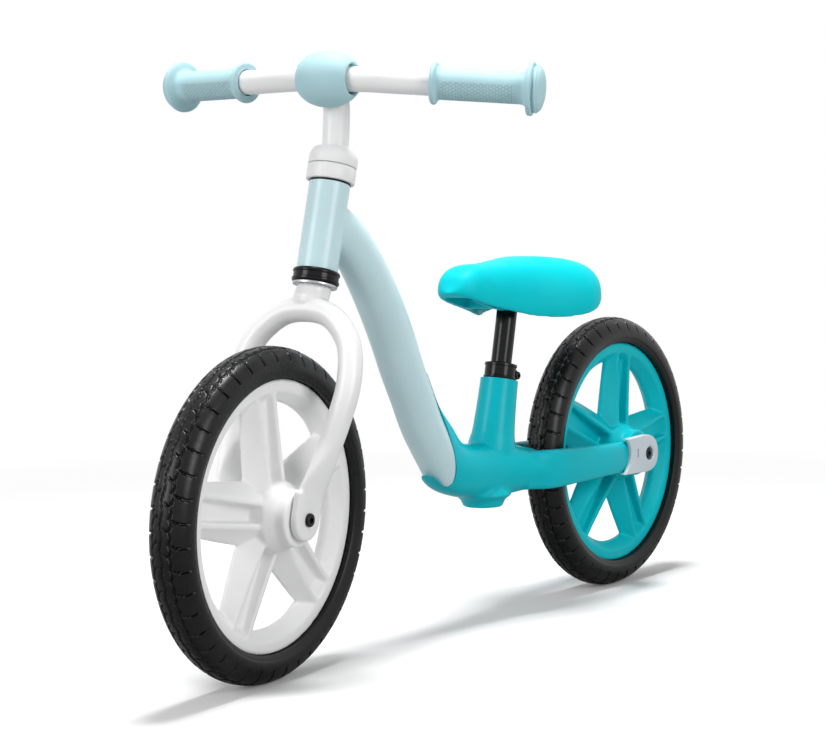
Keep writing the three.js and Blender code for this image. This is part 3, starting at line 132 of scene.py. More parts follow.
def superellipse(a: float, b: float, exponent: float, count: int) -> list[Pair]:
    """Outline of a rounded box.

    Args:
        a: Half size along the first axis.
        b: Half size along the second axis.
        exponent: 2 gives an ellipse, more gives a squarer outline.
        count: Number of points.

    Returns:
        The points, in turn.
    """
    points = []
    for i in range(count):
        angle = 2 * math.pi * i / count
        c, s = math.cos(angle), math.sin(angle)
        x = a * math.copysign(abs(c) ** (2 / exponent), c)
        y = b * math.copysign(abs(s) ** (2 / exponent), s)
        points.append((x, y))
    return points


def cubic(a: Vector, b: Vector, c: Vector, d: Vector, steps: int) -> list[Pair]:
    """Points of a cubic curve in a plane.

    Args:
        a: Its start.
        b: Where it heads for from the start.
        c: Where it comes from at the end.
        d: Its end.
        steps: How many points.

    Returns:
        The points after the start, in order.
    """
    points = []
    for i in range(1, steps + 1):
        t = i / steps
        p = a * (1 - t) ** 3 + b * 3 * t * (1 - t) ** 2 + c * 3 * t**2 * (1 - t) + d * t**3
        points.append((p.x, p.y))
    return points


class Line:
    """A smooth line through given points, after Catmull and Rom."""

    def __init__(self, points: Sequence[Point]) -> None:
        """Keeps the points.

        Args:
            points: Places in millimetres, in order.
        """
        self.points = [Vector(p) for p in points]

    def at(self, share: float) -> Vector:
        """Place at a share of the points passed.

        Args:
            share: 0 at the first point and 1 at the last.

        Returns:
            The place.
        """
        last = len(self.points) - 1
        whole = min(max(share, 0.0), 1.0) * last
        i = min(int(whole), last - 1)
        p1, p2 = self.points[i], self.points[i + 1]
        p0 = self.points[i - 1] if i > 0 else 2 * p1 - p2
        p3 = self.points[i + 2] if i + 2 <= last else 2 * p2 - p1
        d0, d1, d2 = (max((b - a).length, 1e-4) ** 0.5 for a, b in ((p0, p1), (p1, p2), (p2, p3)))
        t1 = ((p1 - p0) / d0 - (p2 - p0) / (d0 + d1) + (p2 - p1) / d1) * d1
        t2 = ((p2 - p1) / d1 - (p3 - p1) / (d1 + d2) + (p3 - p2) / d2) * d1
        u = whole - i
        return p1 + t1 * u + (3 * (p2 - p1) - 2 * t1 - t2) * u**2 + (2 * (p1 - p2) + t1 + t2) * u**3

    def along(self, share: float) -> Vector:
        """Direction of travel at a share of the points passed."""
        low, high = max(share - 1e-3, 0.0), min(share + 1e-3, 1.0)
        return (self.at(high) - self.at(low)).normalized()

    def even(self, count: int) -> list[float]:
        """Shares that lie evenly along the line's length.

        Args:
            count: How many steps between the ends.

        Returns:
            count + 1 shares.
        """
        fine = 400
        places = [self.at(i / fine) for i in range(fine + 1)]
        run = [0.0, *accumulate((b - a).length for a, b in zip(places, places[1:]))]
        shares, k = [], 0
        for i in range(count + 1):
            goal = run[-1] * i / count
            while k < fine - 1 and run[k + 1] < goal:
                k += 1
            step = run[k + 1] - run[k]
            shares.append((k + (goal - run[k]) / step) / fine)
        return shares


# ---- Forms ----


class Join(Enum):
    """How two closed forms are put together."""

    ADD = "UNION"
    CUT = "DIFFERENCE"
    COMMON = "INTERSECT"


@dataclass
class Station:
    """One cross-section of a lofted form."""

    outline: list[Pair]
    place: Matrix


def added(name: str, data: bpy.types.ID) -> bpy.types.Object:
    """Puts data into the scene as an object.

    Args:
        name: The object's name.
        data: Its mesh, camera or lamp.

    Returns:
        The object.
    """
    holder = bpy.data.objects.new(name, data)
    bpy.context.scene.collection.objects.link(holder)
    return holder


def axes(x: Vector, y: Vector, z: Vector, origin: Vector) -> Matrix:
    """A frame from its three directions and its origin."""
    return Matrix.Translation(origin) @ Matrix((x, y, z)).transposed().to_4x4()


class Form:
    """A closed form in millimetres, shaped with mesh operators."""

    def __init__(self, bm: bmesh.types.BMesh | None = None) -> None:
        """Starts empty, or from a mesh in the making."""
        self.bm = bm or bmesh.new()

    @classmethod
    def turned(cls, profile: Sequence[Pair], segments: int = 64) -> Form:
        """Turns a profile about Z.

        Args:
            profile: Pairs of radius and height. It closes on itself, or starts and
                ends on the axis.
            segments: Facets round the full turn.

        Returns:
            The turned form.
        """
        form = cls()
        verts = [form.bm.verts.new((r, 0, z)) for r, z in profile]
        edges = [form.bm.edges.new(pair) for pair in zip(verts, verts[1:])]
        if profile[0][0] > 0 or profile[-1][0] > 0:
            edges.append(form.bm.edges.new((verts[-1], verts[0])))
        bmesh.ops.spin(
            form.bm, geom=verts + edges, cent=(0, 0, 0), axis=(0, 0, 1),
            angle=2 * math.pi, steps=segments, use_merge=True,
        )
        return form.closed()

    @classmethod
    def turned_x(cls, profile: Sequence[Pair], segments: int = 64) -> Form:
        """Turns a profile of radius and place along X about the X axis."""
        return cls.turned(profile, segments).placed(Matrix.Rotation(math.pi / 2, 4, "Y"))

    @classmethod
    def rod(cls, radius: float, low: float, high: float, segments: int = 48) -> Form:
        """A round rod on Z from low to high."""
        return cls.turned([(0, low), (radius, low), (radius, high), (0, high)], segments)

    @classmethod
    def rod_x(cls, radius: float, low: float, high: float, segments: int = 48) -> Form:
        """A round rod on X from low to high."""
        return cls.turned_x([(0, low), (radius, low), (radius, high), (0, high)], segments)

    @classmethod
    def ring(cls, inner: float, outer: float, low: float, high: float) -> Form:
        """A tube on Z from low to high."""
        return cls.turned([(inner, low), (outer, low), (outer, high), (inner, high)])

    @classmethod
    def block(cls, low: Point, high: Point) -> Form:
        """A box between two corners.

        Args:
            low: Its lower corner.
            high: Its upper corner.

        Returns:
            The form.
        """
        form = cls()
        size = [b - a for a, b in zip(low, high)]
        centre = [(a + b) / 2 for a, b in zip(low, high)]
        matrix = Matrix.Translation(centre) @ Matrix.Diagonal((*size, 1))
        bmesh.ops.create_cube(form.bm, size=1, matrix=matrix)
        return form

    @classmethod
    def plate_x(cls, outline: Sequence[Pair], low: float, high: float) -> Form:
        """A flat plate across X.

        Args:
            outline: Its side view, as pairs along Y and Z.
            low: X of its right face.
            high: X of its left face.

        Returns:
            The plate.
        """
        form = cls()
        face = form.bm.faces.new([form.bm.verts.new((low, y, z)) for y, z in outline])
        made = bmesh.ops.extrude_face_region(form.bm, geom=[face])["geom"]
        moving = [v for v in made if isinstance(v, bmesh.types.BMVert)]
        bmesh.ops.translate(form.bm, verts=moving, vec=(high - low, 0, 0))
        return form.closed()

    @classmethod
    def lofted(cls, stations: Sequence[Station]) -> Form:
        """Stretches a skin over cross-sections and closes both ends.

        Args:
            stations: Cross-sections with the same number of points, in order.

        Returns:
            The lofted form.
        """
        form = cls()
        first = stations[0]
        ring = [form.bm.verts.new(first.place @ Vector((a, b, 0))) for a, b in first.outline]
        edges = [form.bm.edges.new(pair) for pair in zip(ring, ring[1:] + ring[:1])]
        form.bm.faces.new(ring)
        for station in stations[1:]:
            order = {v: k for k, v in enumerate(ring)}
            made = bmesh.ops.extrude_edge_only(form.bm, edges=edges)["geom"]
            edges = [e for e in made if isinstance(e, bmesh.types.BMEdge)]
            fresh = [None] * len(ring)
            for vert in (v for v in made if isinstance(v, bmesh.types.BMVert)):
                old = next(e.other_vert(vert) for e in vert.link_edges if e.other_vert(vert) in order)
                fresh[order[old]] = vert
            for vert, (a, b) in zip(fresh, station.outline):
                vert.co = station.place @ Vector((a, b, 0))
            ring = fresh
        form.bm.faces.new(ring)
        return form.closed()

    @classmethod
    def tube(cls, line: Line, radius: float | Callable[[float], float], steps: int, count: int = 40) -> Form:
        """A round bar along a line.

        Args:
            line: Its centre line.
            radius: One radius, or the radius at each share of the line's length.
            steps: Sections along it.
            count: Points round it.

        Returns:
            The bar, with flat ends.
        """
        stations = []
        side = None
        for k, share in enumerate(line.even(steps)):
            ahead = line.along(share)
            if side is None:
                side = ahead.orthogonal().normalized()
            side = (side - ahead * side.dot(ahead)).normalized()
            up = ahead.cross(side)
            r = radius(k / steps) if callable(radius) else radius
            stations.append(Station(superellipse(r, r, 2, count), axes(side, up, ahead, line.at(share))))
        return cls.lofted(stations)

    def closed(self) -> Form:
        """Merges doubled points and turns every face outwards.

        Returns:
            The form itself.
        """
        bmesh.ops.remove_doubles(self.bm, verts=self.bm.verts, dist=1e-3)
        bmesh.ops.dissolve_degenerate(self.bm, edges=self.bm.edges, dist=1e-4)
        bmesh.ops.recalc_face_normals(self.bm, faces=self.bm.faces)
        if self.bm.calc_volume(signed=True) < 0:
            bmesh.ops.reverse_faces(self.bm, faces=self.bm.faces)
        return self

    def copy(self) -> Form:
        """A separate copy."""
        return Form(self.bm.copy())

    def placed(self, matrix: Matrix) -> Form:
        """Moves the form by a matrix.

        Args:
            matrix: The move.

        Returns:
            The form itself.
        """
        bmesh.ops.transform(self.bm, matrix=matrix, verts=self.bm.verts)
        if matrix.to_3x3().determinant() < 0:
            bmesh.ops.reverse_faces(self.bm, faces=self.bm.faces)
        return self

    def moved(self, x: float, y: float, z: float) -> Form:
        """Shifts the form."""
        return self.placed(Matrix.Translation((x, y, z)))

    def with_shells(self, *others: Form) -> Form:
        """Takes in other forms as they are, without joining their walls.

        Args:
            others: The forms to take in.

        Returns:
            The form itself.
        """
        for other in others:
            mesh = bpy.data.meshes.new("shell")
            other.bm.to_mesh(mesh)
            self.bm.from_mesh(mesh)
            bpy.data.meshes.remove(mesh)
        return self

    def bevelled(self, width: float, segments: int = 2, angle: float = 30) -> Form:
        """Rounds every edge sharper than an angle.

        Args:
            width: Offset of the rounding.
            segments: Facets across it.
            angle: Least angle between the two faces, in degrees.

        Returns:
            This form.
        """
        limit = math.radians(angle)
        edges = [e for e in self.bm.edges if len(e.link_faces) == 2 and e.calc_face_angle(0) > limit]
        bmesh.ops.bevel(
            self.bm, geom=edges, offset=width, offset_type="OFFSET", segments=segments,
            profile=0.5, affect="EDGES", clamp_overlap=True, material=-1,
        )
        return self

    def sliced(self, point: Vector, outward: Vector) -> Form:
        """Cuts away all that lies past a plane and closes the cut.

        Args:
            point: A point on the plane.
            outward: The plane's normal, towards what goes.

        Returns:
            This form.
        """
        geom = list(self.bm.verts) + list(self.bm.edges) + list(self.bm.faces)
        made = bmesh.ops.bisect_plane(
            self.bm, geom=geom, dist=1e-5, plane_co=point, plane_no=outward, clear_outer=True
        )["geom_cut"]
        rim = [e for e in made if isinstance(e, bmesh.types.BMEdge)]
        bmesh.ops.contextual_create(self.bm, geom=rim)
        return self

    def _through(self, kind: str, settings: dict[str, object]) -> Form:
        """Puts the form through one modifier.

        Args:
            kind: The modifier's type.
            settings: Its properties and their values.

        Returns:
            This form, changed.
        """
        mesh = bpy.data.meshes.new("work")
        self.bm.to_mesh(mesh)
        piece = added("work", mesh)
        modifier = piece.modifiers.new("work", kind)
        for key, value in settings.items():
            setattr(modifier, key, value)
        bpy.context.view_layer.update()
        graph = bpy.context.evaluated_depsgraph_get()
        result = bpy.data.meshes.new_from_object(piece.evaluated_get(graph))
        self.bm.clear()
        self.bm.from_mesh(result)
        bpy.data.objects.remove(piece)
        bpy.data.meshes.remove(mesh)
        bpy.data.meshes.remove(result)
        return self

    def joined(self, how: Join, *tools: Form) -> Form:
        """Adds, cuts or crosses with other closed forms.

        Args:
            how: What to do with each tool.
            tools: The other forms.

        Returns:
            This form, changed.
        """
        for tool in tools:
            mesh = bpy.data.meshes.new("tool")
            tool.bm.to_mesh(mesh)
            piece = added("tool", mesh)
            self._through("BOOLEAN", {"object": piece, "operation": how.value, "solver": "MANIFOLD"})
            bpy.data.objects.remove(piece)
            bpy.data.meshes.remove(mesh)
        return self

    def fused(self, voxel: float, passes: int, *others: Form) -> Form:
        """Melts overlapping forms into one skin with soft inner corners.

        Args:
            voxel: Grain of the new skin.
            passes: How often it is smoothed.
            others: Forms that overlap this one.

        Returns:
            This form, changed.
        """
        self.with_shells(*others)
        self._through("REMESH", {"mode": "VOXEL", "voxel_size": voxel, "adaptivity": 0.0})
        for _ in range(passes):
            bmesh.ops.smooth_vert(
                self.bm, verts=self.bm.verts, factor=0.5,
                use_axis_x=True, use_axis_y=True, use_axis_z=True,
            )
        return self


@dataclass(frozen=True)
class Role:
    """What a finished piece is in the bike: its name, its body and its slot."""

    name: str
    body: str
    slot: str
    replaces: tuple[str, ...] = ()
    sharp_degrees: float = 32


class Shelf:
    """Turns forms into dressed pieces that ride on the frame's bodies."""

    def __init__(self, finishes: dict[str, bpy.types.Material]) -> None:
        """Keeps the material of each slot.

        Args:
            finishes: Material by slot name.
        """
        self.finishes = finishes

    def put(self, form: Form, role: Role, place: Matrix | None = None) -> bpy.types.Object:
        """Makes the finished piece.

        Args:
            form: The form in millimetres.
            role: Its name, body, slot and the nodes it stands for.
            place: Where it goes, in millimetres.

        Returns:
            The piece, in metres.
        """
        form.placed(Matrix.Scale(MM, 4) @ (place or Matrix.Identity(4)))
        mesh = bpy.data.meshes.new(role.name)
        form.bm.to_mesh(mesh)
        form.bm.free()
        mesh.shade_smooth()
        mesh.set_sharp_from_angle(angle=math.radians(role.sharp_degrees))
        piece = added(role.name, mesh)
        mesh.materials.append(self.finishes[role.slot])
        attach(piece, role.body)
        if role.replaces:
            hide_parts(*role.replaces)
        log.info("%s: %d faces on %s", role.name, len(mesh.polygons), role.body)
        return piece


# ---- Places ----


@dataclass(frozen=True)
class Layout:
    """Where the bike's sub-assemblies stand, in millimetres and degrees."""

    wheelbase: float = 578
    tyre_radius: float = 146
    steering_tilt: float = 14.5
    steering_turn: float = 6
    bar_turn: float = 4
    fork_offset: float = 24.7
    fork_length: float = 221.8
    seat_tilt: float = 12.3
    seat_mouth: Point = (0, 77.5, 238)

    def head(self) -> Matrix:
        """Frame of the head tube: Z is the steering axis, the origin its lower end.

        Returns:
            The matrix to the scene.
        """
        tilt = math.radians(self.steering_tilt)
        up = Vector((0, math.sin(tilt), math.cos(tilt)))
        back = Vector((0, math.cos(tilt), -math.sin(tilt)))
        axle = Vector((0, -self.wheelbase / 2, self.tyre_radius))
        base = axle + back * self.fork_offset + up * self.fork_length
        return Matrix.Translation(base) @ Matrix.Rotation(-tilt, 4, "X")

    def steered(self) -> Matrix:
        """Frame of what turns with the fork."""
        return self.head() @ Matrix.Rotation(math.radians(self.steering_turn), 4, "Z")

    def bars(self) -> Matrix:
        """Frame of the handlebar, clamped a little askew."""
        return self.steered() @ Matrix.Rotation(math.radians(self.bar_turn), 4, "Z")

    def front_wheel(self) -> Matrix:
        """Frame of the front wheel: X is its axle."""
        drop = Matrix.Translation((0, -self.fork_offset, -self.fork_length))
        return self.steered() @ drop @ Matrix.Rotation(math.radians(self.steering_tilt), 4, "X")

    def rear_wheel(self) -> Matrix:
        """Frame of the rear wheel: X is its axle."""
        return Matrix.Translation((0, self.wheelbase / 2, self.tyre_radius))

    def seat(self) -> Matrix:
        """Frame of the seat tube: Z is its axis, the origin its upper mouth."""
        return Matrix.Translation(self.seat_mouth) @ Matrix.Rotation(-math.radians(self.seat_tilt), 4, "X")


# ---- Finishes ----


def linear(red: int, green: int, blue: int) -> Colour:
    """A display colour, 0 to 255 a channel, as scene light."""
    parts = (value / 255 for value in (red, green, blue))
    return (*(c / 12.92 if c <= 0.04045 else ((c + 0.055) / 1.055) ** 2.4 for c in parts), 1.0)


class Nodes:
    """Short ways to place and wire shader nodes in one tree."""

    def __init__(self, tree: bpy.types.NodeTree) -> None:
        """Keeps the tree."""
        self.tree = tree

    @classmethod
    def of(cls, owner: bpy.types.Material | bpy.types.World) -> Nodes:
        """The emptied shader tree of a material or world.

        Args:
            owner: The material or world.

        Returns:
            The helper for its tree.
        """
        owner.use_nodes = True
        owner.node_tree.nodes.clear()
        return cls(owner.node_tree)

    def add(self, kind: str, **settings: object) -> bpy.types.Node:
        """Adds a node and sets its properties.

        Args:
            kind: Its type.
            settings: Its properties by name.

        Returns:
            The node.
        """
        node = self.tree.nodes.new(kind)
        for key, value in settings.items():
            setattr(node, key, value)
        return node

    def wire(self, source: Socket, goal: Socket) -> None:
        """Joins two sockets."""
        self.tree.links.new(source, goal)

    def fill(self, node: bpy.types.Node, values: dict[str | int, Input]) -> bpy.types.Node:
        """Wires or sets a node's inputs.

        Args:
            node: The node.
            values: What each input takes, by name or number.

        Returns:
            The node.
        """
        for key, value in values.items():
            if isinstance(value, Socket):
                self.wire(value, node.inputs[key])
            else:
                node.inputs[key].default_value = value
        return node

    def math(self, operation: str, *values: float | Socket) -> Socket:
        """One step of arithmetic on numbers or sockets."""
        return self.fill(self.add("ShaderNodeMath", operation=operation), dict(enumerate(values))).outputs[0]

    def noise(self, where: Socket, scale: float | Socket, detail: float, rough: float) -> Socket:
        """A cloudy value about one half, its scale in grains to the metre."""
        values = {"Vector": where, "Scale": scale, "Detail": detail, "Roughness": rough}
        return self.fill(self.add("ShaderNodeTexNoise"), values).outputs["Fac"]

    def ranged(self, value: Socket, low: float, high: float, to_low: Input = 0, to_high: Input = 1) -> Socket:
        """The value stretched from one range to another."""
        values = {"Value": value, "From Min": low, "From Max": high, "To Min": to_low, "To Max": to_high}
        return self.fill(self.add("ShaderNodeMapRange"), values).outputs["Result"]

    def blend(self, share: Socket, first: Input, second: Input) -> Socket:
        """Two colours mixed by a share of the second."""
        node = self.add("ShaderNodeMix", data_type="RGBA", blend_type="MIX")
        return self.fill(node, {0: share, 6: first, 7: second}).outputs[2]


def new_group(
    name: str, inputs: dict[str, float], outputs: Sequence[str], colours: Sequence[str] = ()
) -> tuple[bpy.types.NodeTree, Nodes, bpy.types.Node, bpy.types.Node]:
    """Starts a shader node group.

    Args:
        name: Its name.
        inputs: Number inputs and their defaults.
        outputs: Number outputs.
        colours: Colour inputs.

    Returns:
        The group, a helper for it, its input node and its output node.
    """
    group = bpy.data.node_groups.new(name, "ShaderNodeTree")
    for key in colours:
        group.interface.new_socket(name=key, in_out="INPUT", socket_type="NodeSocketColor")
    for key, value in inputs.items():
        socket = group.interface.new_socket(name=key, in_out="INPUT", socket_type="NodeSocketFloat")
        socket.default_value = value
    for key in outputs:
        kind = "NodeSocketColor" if key == "Color" else "NodeSocketFloat"
        group.interface.new_socket(name=key, in_out="OUTPUT", socket_type=kind)
    nodes = Nodes(group)
    return group, nodes, nodes.add("NodeGroupInput"), nodes.add("NodeGroupOutput")


class Effects:
    """Node groups that more than one finish uses."""

    def __init__(self) -> None:
        """Builds each group once."""
        self.surface = self._surface()
        self.edge_wear_and_highlight = self._edge_wear_and_highlight()
        self.honeycomb = self._honeycomb()

    @staticmethod
    def _surface() -> bpy.types.NodeTree:
        """Cloudy tone, roughness and fine relief of a coated or moulded skin.

        Returns:
            The node group.
        """
        group, n, given, out = new_group(
            "skin",
            {"Tone Scale": 14, "Roughness Low": 0.3, "Roughness High": 0.4, "Relief Scale": 1500},
            ("Color", "Roughness", "Height"),
            ("Color", "Shade"),
        )
        where = n.add("ShaderNodeTexCoord").outputs["Object"]
        cloud = n.noise(where, given.outputs["Tone Scale"], 4, 0.55)
        share = n.ranged(cloud, 0.35, 0.65)
        n.wire(n.blend(share, given.outputs["Color"], given.outputs["Shade"]), out.inputs["Color"])
        smear = n.noise(where, n.math("MULTIPLY", given.outputs["Tone Scale"], 3.7), 3, 0.6)
        rough = n.ranged(smear, 0.35, 0.65, given.outputs["Roughness Low"], given.outputs["Roughness High"])
        n.wire(rough, out.inputs["Roughness"])
        n.wire(n.noise(where, given.outputs["Relief Scale"], 2, 0.5), out.inputs["Height"])
        return group

    @staticmethod
    def _edge_wear_and_highlight() -> bpy.types.NodeTree:
        """Share of paler convex edge, from how sharply the surface bends: partly rubbed wear, partly painted edge
        highlight.

        Returns:
            The node group.
        """
        group, n, given, out = new_group("edge_wear_and_highlight", {"Strength": 0.3}, ("Mask",))
        bend = n.add("ShaderNodeNewGeometry").outputs["Pointiness"]
        edge = n.ranged(bend, 0.53, 0.62)
        where = n.add("ShaderNodeTexCoord").outputs["Object"]
        broken = n.ranged(n.noise(where, 160, 4, 0.6), 0.42, 0.62)
        n.wire(n.math("MULTIPLY", n.math("MULTIPLY", edge, broken), given.outputs["Strength"]), out.inputs["Mask"])
        return group

    @staticmethod
    def _honeycomb() -> bpy.types.NodeTree:
        """Height of a six-sided cell pattern on a piece's UV map, one cell to a unit.

        Returns:
            The node group.
        """
        group, n, given, out = new_group("honeycomb", {"Wall": 0.16}, ("Height",))
        uv = n.add("ShaderNodeUVMap", uv_map="sleeve").outputs["UV"]
        split = n.fill(n.add("ShaderNodeSeparateXYZ"), {0: uv}).outputs
        u, v = split["X"], split["Y"]
        tall = math.sqrt(3)
        nearest = None
        for shift in (0.0, 0.5):
            a = n.math("SUBTRACT", n.math("FRACT", n.math("ADD", u, shift)), 0.5)
            rows = n.math("FRACT", n.math("ADD", n.math("DIVIDE", v, tall), shift))
            b = n.math("MULTIPLY", n.math("SUBTRACT", rows, 0.5), tall)
            a, b = n.math("ABSOLUTE", a), n.math("ABSOLUTE", b)
            slant = n.math("ADD", n.math("MULTIPLY", a, 0.5), n.math("MULTIPLY", b, tall / 2))
            reach = n.math("MAXIMUM", a, slant)
            nearest = reach if nearest is None else n.math("MINIMUM", nearest, reach)
        wall = n.math("SUBTRACT", 0.5, given.outputs["Wall"])
        cell = n.add("ShaderNodeMapRange", interpolation_type="SMOOTHSTEP")
        n.fill(cell, {"Value": nearest, "From Min": wall, "From Max": 0.5})
        zone = n.add("ShaderNodeAttribute", attribute_name="grip_zone").outputs["Fac"]
        n.wire(n.math("MULTIPLY", cell.outputs["Result"], zone), out.inputs["Height"])
        return group


@dataclass(frozen=True)
class Finish:
    """A coated, moulded or foamed surface."""

    name: str
    tone: Colour
    shade: Colour
    roughness: Pair
    tone_scale: float = 14
    relief_scale: float = 1500
    relief: float = 0.05
    relief_depth: float = 0.0002
    wear_and_highlight: float = 0.0
    wear_and_highlight_tone: Colour = (0.8, 0.8, 0.8, 1.0)
    metallic: float = 0.0
    coat: float = 0.0
    coat_roughness: float = 0.1
    specular: float = 0.5
    honeycomb: bool = False
    cell_relief: float = 0.9
    cell_depth: float = 0.0006
    # How far the cell pattern is darkened, as painted shade.
    painted_cell_shade: float = 0.35

    def material(self, effects: Effects) -> bpy.types.Material:
        """Builds the material.

        Args:
            effects: The shared node groups.

        Returns:
            The material.
        """
        material = bpy.data.materials.new(self.name)
        n = Nodes.of(material)
        shader = n.add("ShaderNodeBsdfPrincipled")
        n.wire(shader.outputs[0], n.add("ShaderNodeOutputMaterial").inputs["Surface"])
        skin = n.fill(n.add("ShaderNodeGroup", node_tree=effects.surface), {
            "Color": self.tone, "Shade": self.shade, "Tone Scale": self.tone_scale,
            "Roughness Low": self.roughness[0], "Roughness High": self.roughness[1],
            "Relief Scale": self.relief_scale,
        })
        colour = skin.outputs["Color"]
        # Paler convex edges: partly rubbed wear, partly painted highlight along the edges.
        if self.wear_and_highlight:
            wear_and_highlight = n.fill(n.add("ShaderNodeGroup", node_tree=effects.edge_wear_and_highlight), {"Strength": self.wear_and_highlight})
            colour = n.blend(wear_and_highlight.outputs["Mask"], colour, self.wear_and_highlight_tone)
        bump = n.add("ShaderNodeBump")
        n.fill(bump, {"Strength": self.relief, "Distance": self.relief_depth, "Height": skin.outputs["Height"]})
        if self.honeycomb:
            height = n.add("ShaderNodeGroup", node_tree=effects.honeycomb).outputs["Height"]
            deep = n.add("ShaderNodeBump")
            n.fill(deep, {"Strength": self.cell_relief, "Distance": self.cell_depth, "Height": height})
            n.wire(deep.outputs["Normal"], bump.inputs["Normal"])
            # Painted shade: the colour darkens along the honeycomb's cell pattern.
            hollow = (*(c * 0.6 for c in self.shade[:3]), 1.0)
            colour = n.blend(n.math("MULTIPLY", height, self.painted_cell_shade), colour, hollow)
        n.fill(shader, {
            "Base Color": colour, "Roughness": skin.outputs["Roughness"], "Normal": bump.outputs["Normal"],
            "Metallic": self.metallic, "Coat Weight": self.coat, "Coat Roughness": self.coat_roughness,
            "Specular IOR Level": self.specular,
        })
        return material


FINISHES = {
    "pale_blue_paint": Finish(
        "pale_blue_powder_coat", linear(202, 231, 236), linear(199, 228, 234), (0.3, 0.36),
        relief_scale=900, coat=0.2, coat_roughness=0.18, specular=0.35,
    ),
    "turquoise_paint": Finish(
        "turquoise_powder_coat", linear(0, 190, 203), linear(0, 186, 199), (0.3, 0.36),
        relief_scale=900, coat=0.06, coat_roughness=0.14, specular=0.12,
    ),
    "white_paint": Finish(
        "white_powder_coat", linear(240, 240, 240), linear(238, 238, 238), (0.3, 0.34),
        relief_scale=900, coat=0.15, coat_roughness=0.15, specular=0.35,
    ),
    "black_paint": Finish(
        "black_gloss_paint", linear(10, 10, 10), linear(14, 14, 14), (0.14, 0.22),
        tone_scale=30, relief_scale=700, relief=0.04, coat=0.08, coat_roughness=0.08, specular=0.16,
        wear_and_highlight=0.12, wear_and_highlight_tone=linear(60, 60, 62),
    ),
    "black_steel": Finish(
        "black_oxide_steel", linear(22, 22, 23), linear(34, 33, 34), (0.3, 0.42),
        tone_scale=90, relief_scale=2600, relief=0.15, metallic=0.5, specular=0.3,
        wear_and_highlight=0.4, wear_and_highlight_tone=linear(100, 98, 96),
    ),
    "bright_steel": Finish(
        "ground_steel", linear(190, 192, 194), linear(170, 172, 175), (0.22, 0.36),
        tone_scale=80, relief_scale=3000, relief=0.12, metallic=1.0,
    ),
    "white_plastic": Finish(
        "white_moulded_plastic", linear(243, 243, 243), linear(240, 240, 240), (0.38, 0.46),
        relief_scale=2400, relief=0.07, specular=0.35,
    ),
    "turquoise_plastic": Finish(
        "turquoise_moulded_plastic", linear(0, 194, 205), linear(0, 188, 200), (0.36, 0.44),
        relief_scale=2400, relief=0.07, specular=0.12,
    ),
    "pale_grey_plastic": Finish(
        "pale_grey_moulded_plastic", linear(206, 217, 223), linear(200, 212, 218), (0.34, 0.42),
        relief_scale=2400, relief=0.07, specular=0.35,
    ),
    "pale_blue_rubber": Finish(
        "pale_blue_soft_rubber", linear(180, 216, 223), linear(174, 211, 219), (0.52, 0.62),
        tone_scale=22, relief_scale=3200, relief=0.14, specular=0.3, honeycomb=True,
    ),
    "turquoise_foam": Finish(
        "turquoise_skinned_foam", linear(0, 207, 217), linear(0, 201, 212), (0.46, 0.56),
        tone_scale=16, relief_scale=1800, relief=0.1, specular=0.12,
    ),
    # The tyre's paler lug edges are painted highlight, with some rubbed wear.
    "tyre_foam": Finish(
        "black_foam_rubber", linear(8, 8, 8), linear(12, 12, 12), (0.27, 0.35),
        tone_scale=40, relief_scale=2600, relief=0.14, wear_and_highlight=0.25, wear_and_highlight_tone=linear(50, 50, 50),
        specular=0.25,
    ),
}


# ---- Wheels ----


